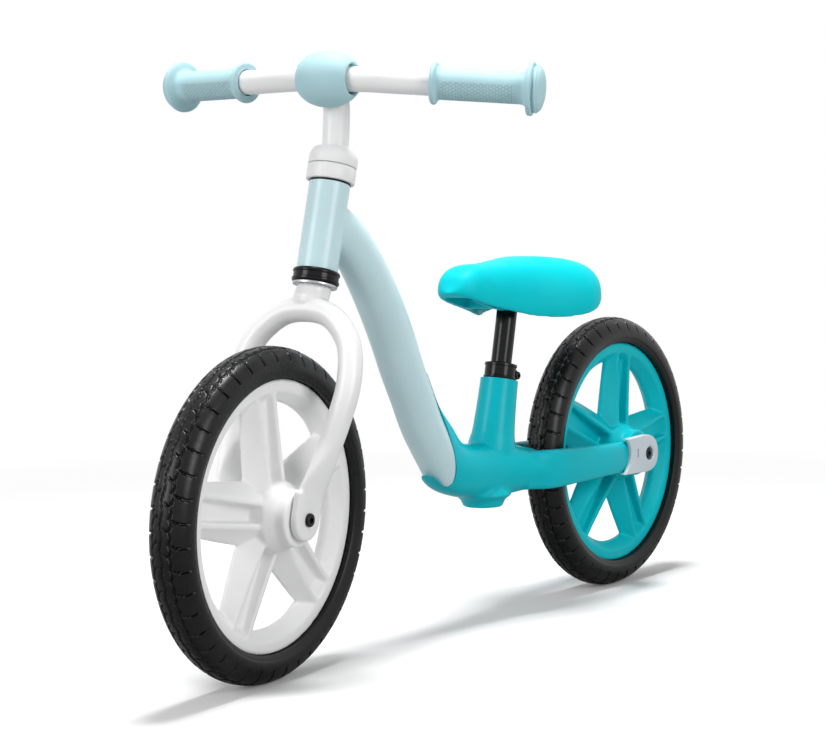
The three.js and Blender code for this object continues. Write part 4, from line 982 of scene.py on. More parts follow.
@dataclass
class Tyre:
    """A foam tyre with a blocked tread and smooth side walls."""

    radius: float = 146
    width: float = 39.4
    section_height: float = 35
    bead_radius: float = 118.8
    roundness: float = 2.1
    channel_width: float = 18.6
    channel_depth: float = 6.2
    pitches: int = 44
    groove_depth: float = 1.7
    groove_width: float = 1.5
    steps: int = 22
    row: float = 0.85
    tread_rows: int = 39
    wall_rows: int = 8
    bars: Pair = (8.5, 28)
    bar_fade: Pair = (1, 4.5)
    block_edge: float = 8.4
    block_slots: float = 2.6
    middle_line: float = 0.2
    zigzag: float = 0.9
    wall_line: float = 35.5

    def half_section(self) -> list[tuple[float, float, float]]:
        """Outline from the crown down one side to the bead.

        Returns:
            Radius, place across the tyre, and length run from the crown.
        """
        centre = self.radius - self.section_height / 2
        half = self.section_height / 2
        bead = -math.asin(((centre - self.bead_radius) / half) ** (self.roundness / 2))
        fine, last = [], 400
        for i in range(last + 1):
            angle = math.pi / 2 + (bead - math.pi / 2) * i / last
            c, s = math.cos(angle), math.sin(angle)
            x = self.width / 2 * abs(c) ** (2 / self.roundness)
            r = centre + half * math.copysign(abs(s) ** (2 / self.roundness), s)
            fine.append((r, x))
        run = [0.0, *accumulate(math.dist(a, b) for a, b in zip(fine, fine[1:]))]
        rows, k = [], 0
        goals = [i * self.row for i in range(self.tread_rows)]
        goals += [mix(goals[-1], run[-1], (i + 1) / self.wall_rows) for i in range(self.wall_rows)]
        for goal in goals:
            while k < last - 1 and run[k + 1] < goal:
                k += 1
            share = (goal - run[k]) / max(run[k + 1] - run[k], 1e-6)
            rows.append((mix(fine[k][0], fine[k + 1][0], share), mix(fine[k][1], fine[k + 1][1], share), goal))
        return rows

    def groove(self, off: float) -> float:
        """Depth share of a groove at a distance from its middle."""
        return 1 - smoothstep(abs(off), self.groove_width * 0.35, self.groove_width)

    def relief(self, run: float, turn: float) -> float:
        """How far the tread is sunk at a place.

        Args:
            run: Signed length from the crown, across the tyre.
            turn: Turn round the tyre, as a share of one tread pitch.

        Returns:
            Depth in millimetres.
        """
        across = abs(run)
        pitch = 2 * math.pi * self.radius / self.pitches
        phase = turn + (0.5 if run < 0 else 0.0)
        deep = 0.0

        def gap(centre: float) -> float:
            """Distance round the tyre to a line at a share of the pitch."""
            return ((phase - centre + 0.5) % 1.0 - 0.5) * pitch

        def zig(middle: float, share: float) -> float:
            """A line that runs to and fro about its middle as the tyre turns."""
            return middle + self.zigzag * (4 * abs(share % 1.0 - 0.5) - 1)

        (start, stop), (rise, fall) = self.bars, self.bar_fade
        if start < across < stop:
            lean = 0.14 * math.sin((across - 8) / 25 * math.pi)
            ends = smoothstep(across, start, start + rise) * (1 - smoothstep(across, stop - fall, stop))
            deep = max(deep, self.groove(gap(0.25 + lean)) * ends)
        edge = zig(self.block_edge, phase * 2)
        deep = max(deep, self.groove(across - edge))
        if self.block_slots < across < edge + 1:
            ends = smoothstep(across, self.block_slots, self.block_slots + 1)
            deep = max(deep, self.groove(gap(0.62 + (across - 3) * 0.03)) * ends * 0.9)
        deep = max(deep, self.groove(run - zig(self.middle_line, turn)) * 0.9)
        line = 0.35 * (1 - smoothstep(abs(across - self.wall_line), 0.3, 0.9))
        return deep * self.groove_depth + line

    def form(self) -> Form:
        """The whole tyre about X, with its tread.

        Returns:
            The form in the wheel's frame.
        """
        rows = self.half_section()
        side = [(r, x) for r, x, _ in rows]
        channel = self.channel_width / 2
        floor = self.bead_radius - self.channel_depth
        right = [(r, -x) for r, x in side[1:]]
        outline = [(floor, -channel), (self.bead_radius, -channel), *right[::-1], *side,
                   (self.bead_radius, channel), (floor, channel)]
        form = Form()
        verts = [form.bm.verts.new((x, r, 0)) for r, x in outline]
        edges = [form.bm.edges.new(pair) for pair in zip(verts, verts[1:] + verts[:1])]
        turn = 2 * math.pi / self.pitches
        bmesh.ops.spin(
            form.bm, geom=verts + edges, cent=(0, 0, 0), axis=(1, 0, 0), angle=turn, steps=self.steps,
        )
        centre = self.radius - self.section_height / 2
        runs = [(math.atan2(r - centre, x), run) for r, x, run in rows][::-1]
        for vert in form.bm.verts:
            ring = Vector((0, vert.co.y, vert.co.z))
            r, x = ring.length, vert.co.x
            angle = math.atan2(r - centre, abs(x))
            if r < self.bead_radius + 0.05 or angle < runs[0][0]:
                continue
            run = profile_linear(runs, angle) * (1 if x >= 0 else -1)
            sink = self.relief(run, math.atan2(vert.co.z, vert.co.y) / turn)
            inward = ring.normalized() * ((centre - r) / (self.section_height / 2) ** 2)
            inward.x = -x / (self.width / 2) ** 2
            vert.co += inward.normalized() * sink
        pitch = list(form.bm.verts) + list(form.bm.edges) + list(form.bm.faces)
        for k in range(1, self.pitches):
            fresh = bmesh.ops.duplicate(form.bm, geom=pitch)["geom"]
            moving = [v for v in fresh if isinstance(v, bmesh.types.BMVert)]
            bmesh.ops.rotate(form.bm, verts=moving, cent=(0, 0, 0), matrix=Matrix.Rotation(turn * k, 3, "X"))
        return form.closed()


@dataclass
class Rim:
    """A moulded rim with five spokes of two ridges each and a stepped hub."""

    tyre: Tyre
    seat_gap: float = 0.3
    width: float = 25
    face_height: float = 10.8
    draft: float = 9
    crest: float = 5
    spokes: int = 5
    spread_rim: float = 26.5
    spread_hub: float = 20.5
    ridge_width: float = 3
    ridge_rise: float = 5.5
    flare_rim: float = 8
    flare_hub: float = 17
    floor: float = 4
    back: float = 5
    hub_radius: float = 30.5
    barrel: float = 44
    nose_radius: float = 24.5
    hub_width: float = 75
    fillet: float = 6
    bearing_radius: float = 11
    bearing_width: float = 7
    axle_bore: float = 7

    def ring(self) -> Form:
        """The rim's ring, with a channel that holds the tyre's foot.

        Returns:
            The ring about X.
        """
        flange = self.tyre.bead_radius - self.seat_gap
        floor = flange - self.tyre.channel_depth
        channel = self.tyre.channel_width / 2 + self.seat_gap
        edge, crest = self.width / 2, self.crest / 2
        face = flange - self.face_height
        half = [(floor, channel), (flange, channel), (flange, edge), (face, edge), (face - self.draft, crest)]
        return Form.turned_x([(r, -x) for r, x in half[::-1]] + half, 180)

    def hub(self) -> Form:
        """The hub, with a wide barrel and a nose on each side.

        Returns:
            The hub about X.
        """
        barrel, end = self.barrel / 2, self.hub_width / 2
        half = [
            (self.hub_radius, barrel - self.fillet / 2), (self.nose_radius + 2, barrel + self.fillet / 2),
            (self.nose_radius, barrel + self.fillet), (self.nose_radius, end - 1),
            (self.nose_radius - 1, end), (0, end),
        ]
        return Form.turned_x([(r, -x) for r, x in half[::-1]] + half, 72)

    def spoke(self) -> Form:
        """One spoke along +Y.

        Returns:
            The spoke, in the wheel's frame.
        """
        rim_end = self.tyre.bead_radius - self.face_height + 1
        hub_end = self.hub_radius - 8
        stations = []
        for i in range(9):
            t = i / 8
            spread = mix(self.spread_hub, self.spread_rim, t) / 2
            flare = mix(self.flare_hub, self.flare_rim, t**1.5)
            ridge = self.width / 2 - self.seat_gap + self.ridge_rise * (1 - t) ** 1.6
            inner = spread - self.ridge_width
            front = [(spread + flare, 1.5), (spread + 1, ridge), (inner, ridge), (inner - 1.5, self.floor)]
            back = [(spread + flare, -1.5), (spread + 1, -self.back)]
            outline = front + [(-a, b) for a, b in front[::-1]] + [(-a, b) for a, b in back] + back[::-1]
            place = Matrix(((0, 1, 0), (0, 0, 1), (1, 0, 0))).to_4x4()
            place.translation = (0, mix(hub_end, rim_end, t), 0)
            stations.append(Station(outline, place))
        return Form.lofted(stations)

    def form(self) -> Form:
        """The whole rim about X.

        Returns:
            The rim with its spokes and hub.
        """
        turns = [Matrix.Rotation(2 * math.pi * i / self.spokes, 4, "X") for i in range(self.spokes)]
        spokes = [self.spoke().placed(turn) for turn in turns]
        form = self.ring().fused(1.3, 3, self.hub(), *spokes)
        end = self.hub_width / 2
        pocket = self.bearing_width + self.seat_gap
        bore = self.bearing_radius + self.seat_gap
        return form.joined(
            Join.CUT,
            Form.rod_x(self.axle_bore, -end - 1, end + 1),
            Form.rod_x(bore, end - pocket, end + 1),
            Form.rod_x(bore, -end - 1, -end + pocket),
        )


@dataclass
class AxleBolt:
    """A low socket-head bolt in the end of an axle."""

    head_radius: float = 5.9
    head_height: float = 2.7
    shank_radius: float = 3.05
    shank_length: float = 16
    socket_radius: float = 3
    socket_depth: float = 2

    def form(self, seat: float) -> Form:
        """The bolt along X.

        Args:
            seat: Where its head seats.

        Returns:
            The bolt, its head towards +X.
        """
        top = seat + self.head_height
        foot = seat - self.shank_length
        r = self.head_radius
        outline = [
            (0, foot), (self.shank_radius - 0.5, foot), (self.shank_radius, foot + 0.6), (self.shank_radius, seat),
            (r, seat), (r, top - 1.1), (r - 0.25, top - 0.5), (r - 0.9, top - 0.08), (r - 1.4, top), (0, top),
        ]
        hexagon = Form.rod_x(self.socket_radius, top - self.socket_depth, top + 1, 6)
        return Form.turned_x(outline, 48).joined(Join.CUT, hexagon)


class WheelMould:
    """The tyre and the rim, which both wheels share."""

    def __init__(self) -> None:
        """Shapes both once."""
        tyre = Tyre()
        self.tyre = tyre.form()
        self.rim = Rim(tyre).form()


@dataclass
class Wheel:
    """A wheel with its tyre, rim and axle bolts."""

    prefix: str
    place: Matrix
    wheel_body: str
    axle_body: str
    rim_slot: str
    phase: float
    outer_x: float
    mould: WheelMould
    bolt: AxleBolt = field(default_factory=AxleBolt)

    def build(self, shelf: Shelf) -> None:
        """Makes the wheel's pieces.

        Args:
            shelf: Where finished pieces go.
        """
        p = self.prefix
        role = Role(f"{p}_tyre_tread", self.wheel_body, "tyre_foam", (f"{p}_tyre",), 40)
        shelf.put(self.mould.tyre.copy(), role, self.place)
        role = Role(f"{p}_rim_moulding", self.wheel_body, self.rim_slot, (f"{p}_rim",), 45)
        turned = Matrix.Rotation(math.radians(self.phase), 4, "X")
        shelf.put(self.mould.rim.copy(), role, self.place @ turned)
        for side, name in ((0, "left"), (math.pi, "right")):
            turn = Matrix.Rotation(side, 4, "Z")
            role = Role(f"{p}_axle_bolt_{name}_head", self.axle_body, "black_steel", (f"{p}_axle_bolt_{name}",))
            shelf.put(self.bolt.form(self.outer_x + 0.3), role, self.place @ turn)


# ---- Fork and headset ----


@dataclass
class Fork:
    """A bent-tube fork with flattened ends, a neck and a steerer."""

    layout: Layout
    tube_radius: float = 10.9
    half_width: float = 57.5
    crown_drop: float = 37
    neck_radius: float = 15.5
    rake_start: float = 6
    dropout_x: float = 42.3
    dropout_thickness: float = 7
    dropout_radius: float = 18.5
    steerer_radius: float = 14.3
    steerer_bore: float = 12.7
    steerer_top: float = 109.6
    crown_top: float = -15.1
    axle_hole: float = 5.3
    flatten: Pair = (0.62, 0.88)

    def centre_line(self) -> Line:
        """Centre line from the right end over the arch to the left end.

        Returns:
            The line, in the head tube's frame.
        """
        run = self.layout.fork_length - self.crown_drop
        wide = self.half_width
        end = self.dropout_x
        half = []
        for x, share in (
            (0, 0), (wide * 0.4, 0.02), (wide * 0.7, 0.09), (wide * 0.88, 0.17), (wide * 0.97, 0.27),
            (wide, 0.38), (wide * 0.955, 0.52), (wide * 0.88, 0.66), (mix(end, wide, 0.3), 0.78),
            (mix(end, wide, 0.05), 0.88), (end, 0.95),
        ):
            ahead = -mix(self.rake_start, self.layout.fork_offset, share**1.15)
            half.append((x, ahead, -self.crown_drop - share * run))
        return Line([(-x, y, z) for x, y, z in half[:0:-1]] + half)

    def arch(self) -> Form:
        """The bent tube, pressed flat towards its ends.

        Returns:
            The tube.
        """
        line = self.centre_line()
        run = self.layout.fork_length - self.crown_drop
        forward = Vector((0, -1, 0))
        stations = []
        for share in line.even(110):
            point, ahead = line.at(share), line.along(share)
            across = forward.cross(ahead).normalized()
            front = ahead.cross(across).normalized()
            flat = smoothstep((-self.crown_drop - point.z) / run, *self.flatten)
            thin = mix(self.tube_radius, self.dropout_thickness / 2, flat)
            broad = mix(self.tube_radius, self.dropout_radius, flat)
            outline = superellipse(thin, broad, 2 + flat, 36)
            stations.append(Station(outline, axes(across, front, ahead, point)))
        return Form.lofted(stations)

    def neck(self) -> Form:
        """The neck from the crown race down onto the arch.

        Returns:
            The neck.
        """
        low = -self.crown_drop
        stations = []
        for share, a, b, lean in (
            (0, 1.28 * self.neck_radius, 0.8 * self.tube_radius, 1.0),
            (0.22, 1.14 * self.neck_radius, 1.15 * self.tube_radius, 0.85),
            (0.5, 1.04 * self.neck_radius, self.neck_radius, 0.5),
            (0.8, self.neck_radius, self.neck_radius, 0.15),
            (1, self.neck_radius, self.neck_radius, 0.0),
        ):
            place = Matrix.Translation((0, -self.rake_start * lean, mix(low, self.crown_top, share)))
            stations.append(Station(superellipse(a, b, 2, 48), place))
        return Form.lofted(stations)

    def dropout(self, x: float) -> Form:
        """One flat axle plate.

        Args:
            x: Middle of its thickness.

        Returns:
            The plate.
        """
        y, z = -self.layout.fork_offset, -self.layout.fork_length
        r = self.dropout_radius
        outline = [(y + r, z + r * 1.2), (y - r, z + r * 1.2), *half_round((y, z), r, math.pi)]
        half = self.dropout_thickness / 2
        return Form.plate_x(outline, x - half, x + half).bevelled(1.1, 3)

    def build(self, shelf: Shelf) -> None:
        """Makes the fork.

        Args:
            shelf: Where finished pieces go.
        """
        steerer = Form.rod(self.steerer_radius, self.crown_top - 8, self.steerer_top - 6)
        plates = self.dropout(self.dropout_x), self.dropout(-self.dropout_x)
        form = self.arch().fused(1.15, 5, self.neck(), *plates, steerer)
        tip = Form.rod(self.steerer_radius, self.steerer_top - 12, self.steerer_top)
        form.joined(Join.ADD, tip)
        hollow = Form.rod(self.steerer_bore, self.crown_top - 6, self.steerer_top + 1)
        axle = Form.rod_x(self.axle_hole, -THROUGH, THROUGH)
        form.joined(Join.CUT, hollow, axle.moved(0, -self.layout.fork_offset, -self.layout.fork_length))
        shelf.put(form, Role("fork_bent_tube", "steering", "white_paint", ("fork",), 40), self.layout.steered())


@dataclass
class Headset:
    """Cups at the head tube's ends and the white collar above them."""

    layout: Layout
    bore: float = 14.65
    cup_radius: float = 21.3
    cup_height: float = 12
    bearing_radius: float = 18
    bearing_height: float = 7
    head_length: float = 78.6
    upper_cup_radius: float = 18.9
    collar_base: float = 80.4
    collar_radius: float = 22
    ring_height: float = 13.6
    groove: float = 0.8
    clamp_height: float = 15.8
    slit: float = 2
    clearance: float = 0.3
    race_radius: float = 20
    race: Pair = (-14.8, -12.6)

    def lower_cup(self) -> Form:
        """The black cup below the head tube, with a rolled lip and a shoulder.

        Returns:
            The cup on Z.
        """
        low, high, r = -self.clearance - self.cup_height, -self.clearance, self.cup_radius
        inner = self.bearing_radius + self.clearance
        return Form.turned([
            (self.bore, high), (self.bore, high - 2), (inner, high - 2), (inner, low), (r - 1.6, low),
            (r - 0.7, low + 0.3), (r - 0.15, low + 1), (r, low + 2), (r, low + 3.2), (r - 0.9, low + 3.9),
            (r - 0.9, low + 8), (r - 0.2, low + 8.7), (r, high - 2.6), (r - 0.4, high - 1.2),
            (r - 1.2, high - 0.3), (r - 2.2, high),
        ], 96)

    def collar_ring(self) -> Form:
        """The plain lower ring of the collar.

        Returns:
            The ring on Z.
        """
        low, r = self.collar_base, self.collar_radius
        high = low + self.ring_height
        inner = self.bearing_radius + self.clearance
        recess = low + self.bearing_height + self.clearance
        return Form.turned([
            (inner, low), (r - 1.1, low), (r - 0.3, low + 0.35), (r, low + 1.1), (r, high - 1.1), (r - 0.3, high - 0.3),
            (r - 1, high), (self.bore, high), (self.bore, recess), (inner, recess),
        ], 96)

    def clamp(self) -> Form:
        """The split clamp ring with a lug behind.

        Returns:
            The clamp on Z.
        """
        low = self.collar_base + self.ring_height + self.groove
        high = low + self.clamp_height
        r = self.collar_radius
        body = Form.turned([
            (self.bore, low), (r - 1, low), (r - 0.3, low + 0.3), (r, low + 1), (r, high - 9), (r - 0.3, high - 6.6),
            (r - 1.2, high - 4.6), (r - 2.6, high - 1.9), (r - 4.1, high - 0.4), (r - 5, high), (self.bore, high),
        ], 96)
        lug = Form.block((-9, self.bore + 2, low + 1), (9, r + 3, high - 4)).bevelled(1.4, 3)
        slit = Form.block((-self.slit / 2, self.bore - 2, low - 1), (self.slit / 2, r + 9, high + 1))
        shank = Form.rod_x(2.8, -30, 30, 24).moved(0, *self.bolt_place())
        head = Form.rod_x(4.3, 6.2, 30, 32).moved(0, *self.bolt_place())
        return body.joined(Join.ADD, lug).joined(Join.CUT, slit, shank, head)

    def bolt_place(self) -> Pair:
        """Y and Z of the clamp's bolt."""
        low = self.collar_base + self.ring_height + self.groove
        return self.collar_radius - 1.8, low + (self.clamp_height - 3) / 2

    def bolt(self) -> Form:
        """The clamp's socket-head bolt."""
        outline = [(0, -8.6), (2.1, -8.6), (2.5, -8.1), (2.5, 6.5), (4, 6.5), (4, 9), (3.5, 9.6), (0, 9.6)]
        return Form.turned_x(outline, 32).joined(Join.CUT, Form.rod_x(1.9, 7.6, 11, 6)).moved(0, *self.bolt_place())

    def build(self, shelf: Shelf) -> None:
        """Makes the headset's and collar's pieces.

        Args:
            shelf: Where finished pieces go.
        """
        head, steered = self.layout.head(), self.layout.steered()
        shelf.put(self.lower_cup(), Role("lower_cup_turned", "frame", "black_paint", ("lower_headset_cup",)), head)
        top = self.head_length
        upper = Form.ring(self.bore, self.upper_cup_radius, top + self.clearance, top + 1.5).bevelled(0.3, 2)
        shelf.put(upper, Role("upper_cup_turned", "frame", "black_paint", ("upper_headset_cup",)), head)
        race = Form.ring(self.bore, self.race_radius, *self.race).bevelled(0.5, 2)
        shelf.put(race, Role("crown_race_turned", "steering", "bright_steel", ("crown_race",)), steered)
        role = Role("collar_ring_moulding", "steering", "white_plastic", ("steering_collar_ring",))
        shelf.put(self.collar_ring(), role, steered)
        role = Role("collar_clamp_moulding", "steering", "white_plastic", ("steering_collar_clamp",))
        shelf.put(self.clamp(), role, steered)
        role = Role("collar_bolt_head", "steering", "black_steel", ("steering_collar_bolt",))
        shelf.put(self.bolt(), role, steered)


# ---- Handlebar ----


@dataclass
class Grip:
    """A soft grip with a rounded inner flange and a stepped domed end."""

    length: float = 100
    radius: float = 14
    inner_flange: float = 18.6
    end_flange: float = 23.4
    flange_thickness: float = 5
    groove: float = 1.8
    dome_radius: float = 21
    dome_height: float = 8.5
    cells_round: int = 28
    cells_start: float = 9
    cells_stop: float = 73

    def profile(self) -> list[Pair]:
        """Outline from the sleeve's open end to the dome's top.

        Returns:
            Radius and height of each corner.
        """
        low = self.length - self.dome_height - self.groove - self.flange_thickness
        top = low + self.flange_thickness
        base = top + self.groove
        thick, inner, r = self.flange_thickness, self.inner_flange, self.radius
        points = [(0, 0)]
        for i in range(13):
            angle = -math.pi / 2 + math.pi * i / 12
            points.append((inner - thick / 2 + thick / 2 * math.cos(angle), thick / 2 + thick / 2 * math.sin(angle)))
        points += [(r + 1.2, thick + 0.5), (r + 0.3, thick + 1.6), (r, thick + 3)]
        points += [(r, thick + 3 + (low - 9 - thick) * i / 24) for i in range(1, 25)]
        points += [(r + 0.3, low - 4.2), (r + 1.1, low - 2.4), (r + 2.6, low - 1.1), (r + 5, low - 0.3)]
        flange = self.end_flange
        points += [(flange - 0.9, low + 0.4), (flange - 0.2, low + 1.2), (flange, low + 2.2), (flange, top - 1.2)]
        points += [(flange - 0.4, top - 0.4), (flange - 1.2, top)]
        neck = self.dome_radius - 1.6
        points += [(neck, top), (neck, base)]
        rim, rise = self.dome_radius, self.dome_height
        points += [(rim - 0.5, base), (rim, base + 0.6)]
        points += [(rim - 0.15, base + 1.7), (rim - 0.9, base + 2.1), (rim - 1.0, base + 2.5)]
        for i in range(0, 13):
            angle = math.pi / 2 * i / 12
            points.append(((rim - 1.4) * math.cos(angle), base + 2.7 + (rise - 2.7) * math.sin(angle) ** 1.1))
        points[-1] = (1.6, self.length - 0.02)
        points += [(1.2, self.length - 0.6), (0, self.length - 0.7)]
        return points

    def form(self) -> Form:
        """The grip on Z, its domed end up."""
        return Form.turned(self.profile(), 96)

    def map_sleeve(self, piece: bpy.types.Object, place: Matrix) -> None:
        """Gives the sleeve its cell map and marks where the cells are pressed in.

        Args:
            piece: The finished grip.
            place: Where its own frame stands, in millimetres.
        """
        back = (Matrix.Scale(MM, 4) @ place).inverted()
        mesh = piece.data
        down = (place.to_3x3().inverted() @ Vector((0, -0.25, -1))).normalized()
        cell = 2 * math.pi * self.radius / self.cells_round
        local = [back @ v.co for v in mesh.vertices]
        zone = mesh.attributes.new("grip_zone", "FLOAT", "POINT")
        low, high = self.cells_start, self.cells_stop
        values = []
        for co in local:
            reach = math.hypot(co.x, co.y)
            facing = (co.x * down.x + co.y * down.y) / max(reach, 1e-6)
            share = smoothstep(facing, 0.05, 0.2) * smoothstep(co.z, low, low + 2)
            share *= 1 - smoothstep(co.z, high, high + 2)
            values.append(share if abs(reach - self.radius) < 1 else 0.0)
        zone.data.foreach_set("value", values)
        uv = mesh.uv_layers.new(name="sleeve")
        for face in mesh.polygons:
            middle = sum((local[i] for i in face.vertices), Vector()) / len(face.vertices)
            home = math.atan2(middle.y, middle.x)
            for k, i in zip(face.loop_indices, face.vertices):
                angle = math.atan2(local[i].y, local[i].x)
                angle = home + (angle - home + math.pi) % (2 * math.pi) - math.pi
                uv.data[k].uv = (angle / (2 * math.pi) * self.cells_round, local[i].z / cell)


@dataclass
class Handlebar:
    """A bent bar on a goose-necked stem, with a pad and two grips."""

    layout: Layout
    stem_radius: float = 12.1
    stem_wall: float = 2
    stem_low: float = 26
    stem_bend: float = 110
    bar_radius: float = 11.1
    reach: float = 30.4
    rise: float = 166.3
    half_width: float = 190
    sweep: float = 44
    lift: float = 5
    pad_radius: float = 25
    pad_half: float = 31.5
    mouth: float = 14.6
    mouth_depth: float = 7
    straight: float = 0.18
    gentle: float = 0.14
    pad_gap: float = 0.6
    grip_gap: float = 0.9
    grip: Grip = field(default_factory=Grip)

    def point(self, share: float) -> Vector:
        """Place on the bar's centre line, 0 in the middle and 1 at the left end."""
        bent = mix(max(0.0, abs(share) - self.straight) / (1 - self.straight), abs(share), self.gentle)
        return Vector((self.half_width * share, self.sweep * bent - self.reach, self.lift * bent + self.rise))

    def line(self, low: float, high: float) -> Line:
        """The bar's centre line between two shares."""
        between = [s for s in (-0.75, -0.5, -0.34, -0.2, 0, 0.2, 0.34, 0.5, 0.75) if low < s < high]
        return Line([self.point(s) for s in (low, *between, high)])

    def stem_line(self) -> Line:
        """The stem's centre line, from its foot in the steerer to the bar.

        Returns:
            The line, in the head tube's frame.
        """
        low, bend, reach, rise = self.stem_low, self.stem_bend, self.reach, self.rise
        points = [(0, 0, z) for z in (low, (low + bend) / 2, bend)]
        for back, up in ((0.09, 0.3), (0.3, 0.68), (0.62, 0.92), (1, 1)):
            points.append((0, -reach * back, bend + (rise - bend) * up))
        return Line(points)

    def pad_form(self) -> Form:
        """The barrel-shaped pad round the middle of the bar.

        Returns:
            The pad about X.
        """
        stop = math.acos((self.mouth + 1.2) / self.pad_radius)
        half = []
        for i in range(25):
            angle = i / 24 * stop
            half.append((self.pad_radius * math.cos(angle), self.pad_half * math.sin(angle) ** 0.94))
        end = half[-1][1]
        half += [(self.mouth + 0.5, end + 0.35), (self.mouth - 0.2, end + 0.3), (self.mouth - 0.8, end - 0.4)]
        half += [(self.mouth - 1.2, end - self.mouth_depth), (0, end - self.mouth_depth)]
        whole = [(r, -x) for r, x in half[:0:-1]] + half
        pad = Form.turned_x(whole, 96).moved(0, -self.reach, self.rise)
        bar = Form.tube(self.line(-0.34, 0.34), self.bar_radius + self.pad_gap, 24, 40)
        stem = Form.tube(self.stem_line(), self.stem_radius + self.pad_gap, 40, 40)
        return pad.joined(Join.CUT, bar, stem)

    def build(self, shelf: Shelf) -> None:
        """Makes the bar, the pad and the grips.

        Args:
            shelf: Where finished pieces go.
        """
        place = self.layout.bars()
        end = 1 - (self.grip.dome_height + self.grip.groove + 3) / self.half_width
        bar = Form.tube(self.line(-end, end), self.bar_radius, 120, 40)
        stem = Form.tube(self.stem_line(), self.stem_radius, 72, 40)
        hollow = Form.rod(self.stem_radius - self.stem_wall, self.stem_low - 1, self.stem_bend - 2)
        bar.joined(Join.ADD, stem).joined(Join.CUT, hollow)
        shelf.put(bar, Role("handlebar_bent_tube", "handlebar", "white_paint", ("handlebar",), 40), place)
        pad_role = Role("handlebar_pad_moulding", "handlebar", "pale_blue_rubber", ("handlebar_pad",), 50)
        shelf.put(self.pad_form(), pad_role, place)
        direction = (self.point(1) - self.point(0.6)).normalized()
        start = self.point(1) - direction * self.grip.length
        for side, name in ((1, "left"), (-1, "right")):
            ahead = Vector((side * direction.x, direction.y, direction.z))
            turn = Vector((0, 0, 1)).rotation_difference(ahead).to_matrix().to_4x4()
            grip_place = place @ Matrix.Translation((side * start.x, start.y, start.z)) @ turn
            run = self.line(*sorted((0.2 * side, (end + 0.004) * side)))
            bore = Form.tube(run, self.bar_radius + self.grip_gap, 24, 40)
            grip = self.grip.form().joined(Join.CUT, bore.placed(grip_place.inverted() @ place))
            role = Role(f"grip_{name}_moulding", "handlebar", "pale_blue_rubber", (f"grip_{name}",), 50)
            piece = shelf.put(grip, role, grip_place)
            self.grip.map_sleeve(piece, grip_place)


# ---- Frame ----


@dataclass(frozen=True)
class Plank:
    """One section of a frame tube in the bike's centre plane."""

    y: float
    z: float
    half: float
    above: float
    below: float


